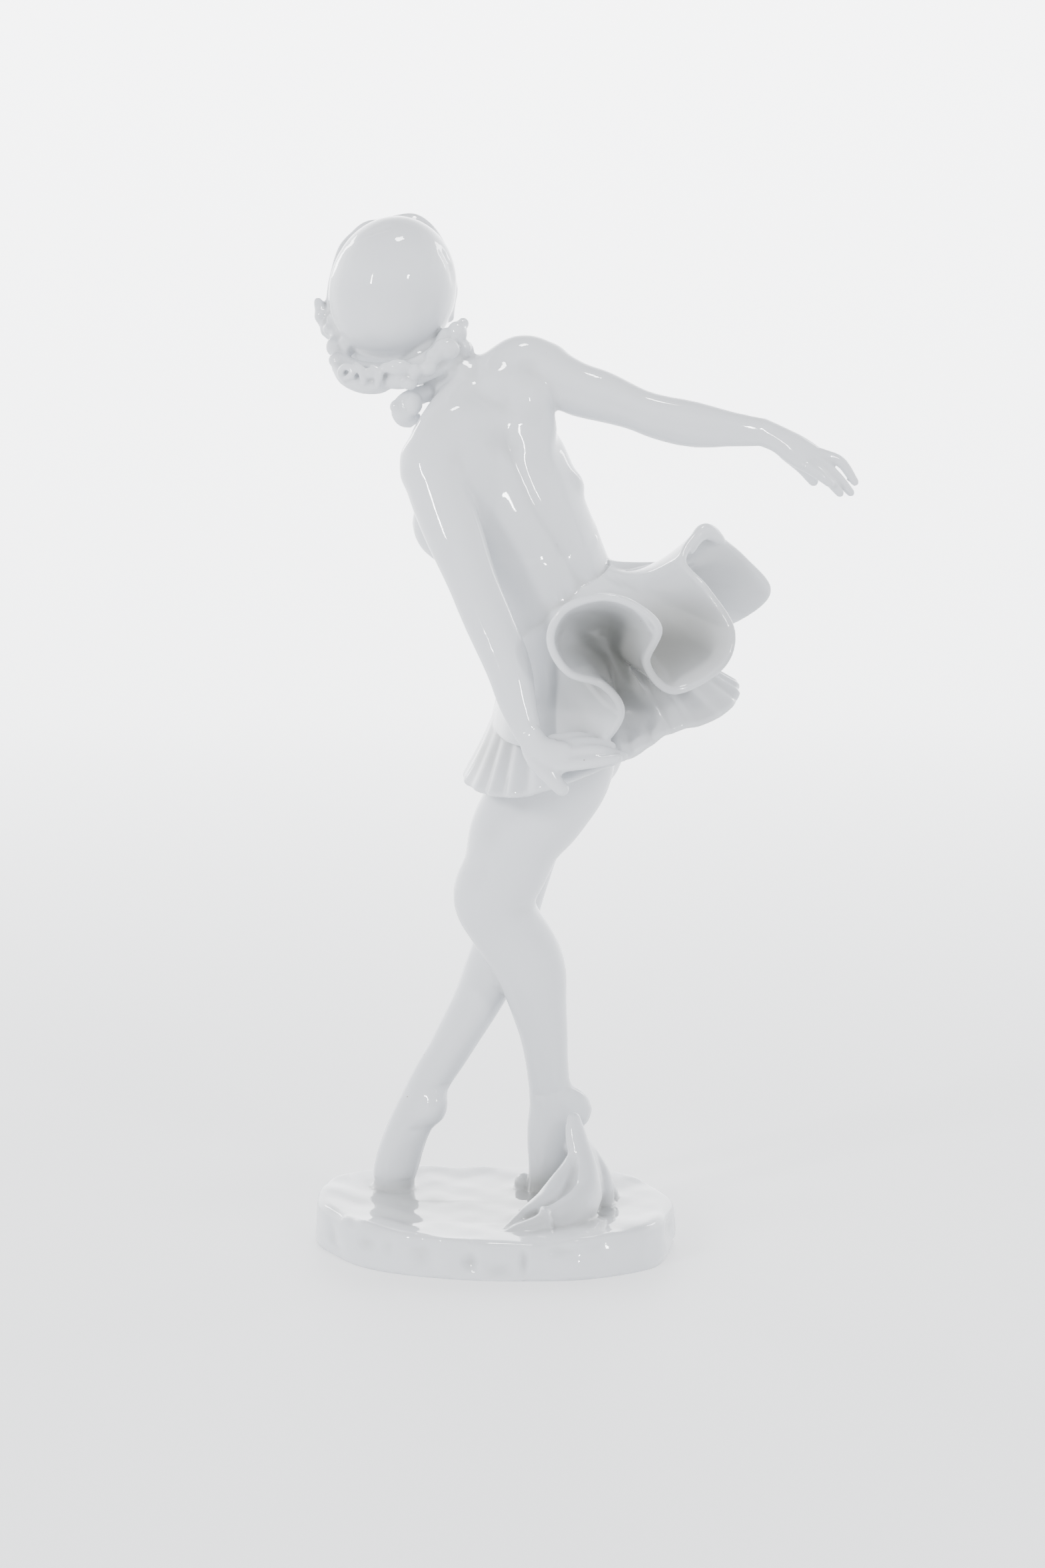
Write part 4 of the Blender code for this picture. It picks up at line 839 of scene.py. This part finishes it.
def baseForm():
    plan = spline(base["plan"], 12, closed=True)
    outline = plan[:, :2] * (base["width"] / 2, base["depth"] / 2)
    rise, edge, thick = plan[:, 2:3], base["edgeRound"], base["thickness"]
    outward = outline / np.linalg.norm(outline, axis=1)[:, None]
    turn = np.degrees(np.arctan2(outline[:, 1], outline[:, 0]))
    dent = np.zeros(len(turn))
    for angle, width, depth in base["dents"]:
        off = (turn - angle + 180) % 360 - 180
        dent += depth * np.exp(-(off / width) ** 2)
    dent = dent[:, None]

    def ring(part, inset, height):
        level = np.broadcast_to(np.asarray(height, float), (len(turn), 1))
        return np.column_stack([outline * part - outward * inset, level])

    rings = [ring(1, 0.0002, -edge), ring(1, 0.0002, 0.001), ring(1, 0.4 * dent, 0.35 * thick)]
    for k in range(9):
        lean = math.pi / 2 * k / 8
        inset = edge * (1 - math.cos(lean)) + dent * (1 - 0.4 * k / 8)
        rings.append(ring(1, inset, thick + rise - edge * (1 - math.sin(lean))))
    for part, much in ((0.86, 0.75), (0.72, 0.35), (0.55, 0.05), (0.25, 0.0)):
        rings.append(ring(part, 0, thick + rise * much))
    return closedForm(rings, flipped=True)


def baseRelief(points, normals):  # uneven top, thumb marks and nicks in the side
    top = base["thickness"] + 0.0045
    height = points[:, 2]
    low = np.clip((top - height) / 0.001, 0, 1) * np.clip((height - 0.0012) / 0.0015, 0, 1)
    uneven = sum(wobble(points, size, seed) * much for size, seed, much in base["waves"])
    points = points + normals * (low * uneven)[:, None]
    points = pressPaths(points, normals, base["worked"])
    spread = base["markSpread"]
    for degrees, *sizes in base["marks"]:
        height, width, tall, depth = (size / 1000 for size in sizes)
        way = np.array((math.cos(math.radians(degrees)), math.sin(math.radians(degrees))))
        reach = 1 / math.sqrt((way[0] / base["width"]) ** 2 + (way[1] / base["depth"]) ** 2) / 2
        at = np.array((*(way * reach), height))
        away = (((points - at) / (width * spread, width * spread, tall * spread)) ** 2).sum(1)
        points = points - normals * (base["markDepth"] * depth * np.exp(-away ** 1.4))[:, None]
    return points


glaze = {
    "white": (0.66, 0.68, 0.71, 1.0),
    # grey of glaze pooled in hollows, made much darker as painted shade
    "poolAndShadeGrey": (0.26, 0.262, 0.25, 1.0),
    "roughness": 0.04,
    "ior": 1.52,
    "ripple": 0.00025,        # metres, how much the glaze waves
    "rippleStrength": 0.6,
    "rippleScale": 90.0,
    "rippleDetail": 1.5,
    "pinholeScale": 190.0,    # cells to the metre, of which few hold a pinhole
    "pinholeSize": 0.045,
    "pinholeRare": 0.93,
    "pinhole": (0.30, 0.29, 0.27, 1.0),
    "hollowDepth": 0.0010,    # metres of hollow at which glaze pools and the painted shade is darkest
    "hollowMost": 0.8,
    # painted shade: middle, reach and strength of the deep places that are darkened where shade
    # falls
    "paintedShadeRecesses": [
        ((38.0, -24.0, 167.0), (17.0, 28.0, 16.0), 0.95),
        ((57.0, -18.0, 173.0), (16.0, 26.0, 13.0), 0.8),
        ((45.0, -8.0, 146.0), (30.0, 22.0, 9.0), 0.6), ((3.0, 2.0, 137.0), (12.0, 20.0, 8.0), 0.9),
        ((64.0, 4.0, 186.0), (16.0, 14.0, 12.0), 0.3),
        ((22.0, -14.0, 148.0), (14.0, 16.0, 12.0), 0.6),
        ((0.0, 0.0, 1.5), (44.0, 36.0, 3.4), 0.75), ((-18.0, 8.0, 3.0), (9.0, 9.0, 5.0), 0.4),
        ((17.0, 10.0, 3.0), (10.0, 12.0, 6.0), 0.5)],
}


def glazeMaterial():
    material = bpy.data.materials.new("whiteGlaze")
    material.use_nodes = True
    tree = material.node_tree
    shader = tree.nodes["Principled BSDF"]
    shader.inputs["Roughness"].default_value = glaze["roughness"]
    shader.inputs["IOR"].default_value = glaze["ior"]
    place3d = addNode(tree, "ShaderNodeTexCoord")
    # the white is mixed towards grey by glaze pooling plus painted shade in creases and recesses
    poolAndShadeMask = addNode(tree, "ShaderNodeAttribute", attribute_name="poolAndPaintedShade")
    body = addNode(tree, "ShaderNodeMix", {"A": glaze["white"], "B": glaze["poolAndShadeGrey"]},
                   data_type="RGBA")
    cells = addNode(tree, "ShaderNodeTexVoronoi", {"Scale": glaze["pinholeScale"]})
    spot = addNode(tree, "ShaderNodeMath", {1: glaze["pinholeSize"]}, operation="LESS_THAN")
    chance = addNode(tree, "ShaderNodeSeparateColor")
    few = addNode(tree, "ShaderNodeMath", {1: glaze["pinholeRare"]}, operation="GREATER_THAN")
    both = addNode(tree, "ShaderNodeMath", operation="MULTIPLY")
    holes = addNode(tree, "ShaderNodeMix", {"B": glaze["pinhole"]}, data_type="RGBA")
    waves = addNode(tree, "ShaderNodeTexNoise",
                    {"Scale": glaze["rippleScale"], "Detail": glaze["rippleDetail"]})
    bump = addNode(tree, "ShaderNodeBump",
                   {"Strength": glaze["rippleStrength"], "Distance": glaze["ripple"]})
    wire(tree, (poolAndShadeMask, "Fac", body, "Factor"), (place3d, "Object", cells, "Vector"),
         (cells, "Distance", spot, 0), (cells, "Color", chance, "Color"),
         (chance, "Red", few, 0), (spot, 0, both, 0), (few, 0, both, 1),
         (body, "Result", holes, "A"), (both, 0, holes, "Factor"),
         (holes, "Result", shader, "Base Color"), (place3d, "Object", waves, "Vector"),
         (waves, "Fac", bump, "Height"), (bump, "Normal", shader, "Normal"))
    return material


def largestShell(mesh):
    shell = bmesh.new()
    shell.from_mesh(mesh)
    left = set(shell.verts)
    islands = []
    while left:
        seed = left.pop()
        island, front = {seed}, [seed]
        while front:
            for edge in front.pop().link_edges:
                for v in edge.verts:
                    if v in left:
                        left.discard(v)
                        island.add(v)
                        front.append(v)
        islands.append(island)
    keep = max(islands, key=len)
    bmesh.ops.delete(shell, geom=[v for v in shell.verts if v not in keep], context="VERTS")
    shell.to_mesh(mesh)
    shell.free()


def edgeArrays(mesh):
    flat = np.empty(len(mesh.edges) * 2, int)
    mesh.edges.foreach_get("vertices", flat)
    a, b = flat.reshape(-1, 2).T
    count = sum(np.bincount(ends, minlength=len(mesh.vertices)) for ends in (a, b))
    return a, b, count


def neighbourMean(values, edges):
    a, b, count = edges
    columns = []
    for column in np.atleast_2d(values.T):
        total = np.bincount(a, column[b], len(count)) + np.bincount(b, column[a], len(count))
        columns.append(total / count)
    return np.array(columns).T.reshape(values.shape)


def poolAndPaintedShadeOf(mesh):  # how hollow the surface is at each point, where glaze gathers and painted shade darkens it; then the listed recesses of painted shade
    points, normals = readVectors(mesh, "co"), readVectors(mesh, "normal")
    edges = edgeArrays(mesh)
    smoothPoints = points
    for _ in range(14):
        smoothPoints = 0.4 * smoothPoints + 0.6 * neighbourMean(smoothPoints, edges)
    hollow = ((smoothPoints - points) * normals).sum(1)
    for _ in range(6):
        hollow = 0.5 * hollow + 0.5 * neighbourMean(hollow, edges)
    hollow = np.clip(hollow / glaze["hollowDepth"], 0, glaze["hollowMost"])
    # painted shade: darken the listed deep places, the skirt pockets, under the petticoat and the
    # base top
    for middle, reach, strength in glaze["paintedShadeRecesses"]:
        away = (((points - place(middle)) / (np.array(reach) * share)) ** 2).sum(1)
        hollow = 1 - (1 - hollow) * (1 - strength * np.exp(-away ** 1.5))
    return hollow


def detailed(mesh):  # marks pressed into the joined skin
    points, normals = readVectors(mesh, "co"), readVectors(mesh, "normal")
    points = pressPaths(points, normals, head["dimples"] + body["shoeEdges"] + [cloth["valley"]])
    points = facePressed(points, normals)
    points = baseRelief(points, normals)
    writePoints(mesh, points)


def buildFigure():
    material = glazeMaterial()
    tree = curlTree()
    curls = [curlForm("sideCurls", rows, tree, head["seed"] + i, material)
             for i, rows in enumerate(head["temples"] + [head["fringe"]])]
    print("stage: curls", sum(len(p) for p, f in curls))
    added = [(place(p), f) for p, f in headForms() + handForms() + skirtForms() + clothForms()]
    forms = joined([asForm(soft)] + added + curls + [baseForm()])
    mesh = pressedTogether(forms, figure["fineGrid"], figure["fineRounds"])
    print("stage: one skin", len(mesh.vertices))
    largestShell(mesh)
    eased(mesh)
    detailed(mesh)
    thing = newObject("ballerinaGlazed", mesh)
    faces = sum(len(p.vertices) - 2 for p in mesh.polygons)
    if faces > figure["triangles"]:
        fewer = thing.modifiers.new("fewer", "DECIMATE")
        fewer.ratio = figure["triangles"] / faces
        small = evaluatedMesh(thing)
        thing.modifiers.clear()
        thing.data = small
    points = readVectors(thing.data, "co")
    writePoints(thing.data, np.clip(points, *boxBefore))  # never outside the part
    thing.data.materials.clear()
    thing.data.materials.append(material)
    thing.data.shade_smooth()
    # stored per point: glaze pooling and painted shade in hollows and deep recesses
    poolAndPaintedShade = thing.data.attributes.new("poolAndPaintedShade", "FLOAT", "POINT")
    poolAndPaintedShade.data.foreach_set("value", poolAndPaintedShadeOf(thing.data))
    return thing


ballerina = buildFigure()
print("stage: figure", len(ballerina.data.polygons))
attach(ballerina, "root")
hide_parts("ballerina")

studio = {
    "lens": 90.0, "sensor": 36.0,
    "camera": (0.0085, -1.1487, 0.3003), "pitch": 8.0,
    "paper": (0.50, 0.505, 0.515, 1.0), "paperRoughness": 0.55,
    # colour of the paper's painted glow
    "paperLight": (0.975, 0.985, 1.0, 1.0),
    "sides": 64,
    # metres; then how much the paper glows as painted light by the figure, on the wall behind and
    # on the near wall
    "flatRadius": 1.30, "curveRadius": 1.0, "wallHeight": 3.2,
    "floorGlow": 0.95, "wallGlow": 6.0, "frontGlow": 0.35,
    "world": (1.0, 1.0, 1.0, 1.0), "worldStrength": 0.05,
    # name, place, aim, width and height, power
    "lights": [
        ("leftStrip", (-0.70, -0.80, 0.62), (0.0, 0.0, 0.17), (0.06, 0.26), 9.0),
        ("rightStrip", (0.62, -0.95, 0.70), (0.02, 0.0, 0.17), (0.05, 0.20), 5.0),
        ("topBox", (0.10, -0.10, 1.25), (0.02, 0.0, 0.1), (0.22, 0.14), 7.0),
        ("backLeft", (-0.60, 0.85, 0.60), (0.0, 0.0, 0.17), (0.12, 0.40), 2.5),
        ("backRight", (0.75, 0.75, 0.70), (0.0, 0.0, 0.17), (0.12, 0.40), 2.5),
    ],
}


def lookAt(thing, target):
    way = np.asarray(target) - np.asarray(thing.location)
    flat = math.hypot(way[0], way[1])
    thing.rotation_euler = (math.atan2(flat, -way[2]), 0.0, math.atan2(-way[0], way[1]))


def paperMaterial():  # pale paper whose glow is painted light, brightest behind the figure
    paper = bpy.data.materials.new("paper")
    paper.use_nodes = True
    shader = paper.node_tree.nodes["Principled BSDF"]
    shader.inputs["Base Color"].default_value = studio["paper"]
    shader.inputs["Roughness"].default_value = studio["paperRoughness"]
    shader.inputs["Emission Color"].default_value = studio["paperLight"]
    # painted light: the paper's emission strength comes from its glow per point
    paintedGlow = addNode(paper.node_tree, "ShaderNodeAttribute", attribute_name="paintedGlow")
    wire(paper.node_tree, (paintedGlow, "Fac", shader, "Emission Strength"))
    return paper


def buildSweep():  # a round studio sweep: flat floor, soft curve, upright wall
    flat, curve, wall = studio["flatRadius"], studio["curveRadius"], studio["wallHeight"]
    sides = studio["sides"]
    profile = [(r, 0.0) for r in (0.0, 0.2, 0.4, 0.7, 1.0, flat)]
    profile += [(flat + curve * math.sin(a), curve - curve * math.cos(a))
                for a in np.linspace(0, math.pi / 2, 20)[1:]]
    profile += [(flat + curve, z) for z in np.linspace(curve, wall, 5)[1:]]
    turn = turnsOf(sides)
    points = [(0.0, 0.0, 0.0)]
    points += [(r * math.cos(t), r * math.sin(t), z) for r, z in profile[1:] for t in turn]
    faces = [(0, 1 + i, 1 + (i + 1) % sides) for i in range(sides)]
    faces += [tuple(v + 1 for v in f[::-1]) for f in gridFaces(len(profile) - 1, sides)]
    mesh = bpy.data.meshes.new("sweep")
    mesh.from_pydata(points, [], faces)
    mesh.shade_smooth()
    # painted light: the paper glows, dim on the near side and brightest on the wall behind the
    # figure
    at = np.array(points)
    radius = np.hypot(at[:, 0], at[:, 1])
    rise = np.clip(radius / (flat + curve), 0, 1) ** 1.5
    behind = np.clip(0.5 + 0.5 * at[:, 1] / np.maximum(radius, 0.4), 0, 1) ** 2
    wallGlow = studio["frontGlow"] * (1 - behind) + studio["wallGlow"] * behind
    wallGlow = wallGlow * np.clip(1.6 - at[:, 2] / 1.5, 0.1, 1)  # dimmer above head height
    paintedGlow = studio["floorGlow"] * (1 - rise) + wallGlow * rise
    mesh.attributes.new("paintedGlow", "FLOAT", "POINT").data.foreach_set("value", paintedGlow)
    mesh.materials.append(paperMaterial())
    return newObject("sweep", mesh)


def buildStudio():
    lens = bpy.data.cameras.new("camera")
    lens.lens = studio["lens"]
    lens.sensor_fit = "VERTICAL"
    lens.sensor_height = studio["sensor"]
    camera = newObject("camera", lens)
    camera.location = studio["camera"]
    camera.rotation_euler = (math.radians(90 - studio["pitch"]), 0, 0)
    bpy.context.scene.camera = camera
    buildSweep()
    world = bpy.data.worlds.new("softWhite")
    world.use_nodes = True
    sky = world.node_tree.nodes["Background"]
    sky.inputs["Color"].default_value = studio["world"]
    sky.inputs["Strength"].default_value = studio["worldStrength"]
    bpy.context.scene.world = world
    for name, where, target, size, power in studio["lights"]:
        lamp = bpy.data.lights.new(name, "AREA")
        lamp.shape = "RECTANGLE"
        lamp.size, lamp.size_y = size
        lamp.energy = power
        light = newObject(name, lamp)
        light.location = where
        lookAt(light, target)


buildStudio()
print("stage: studio")
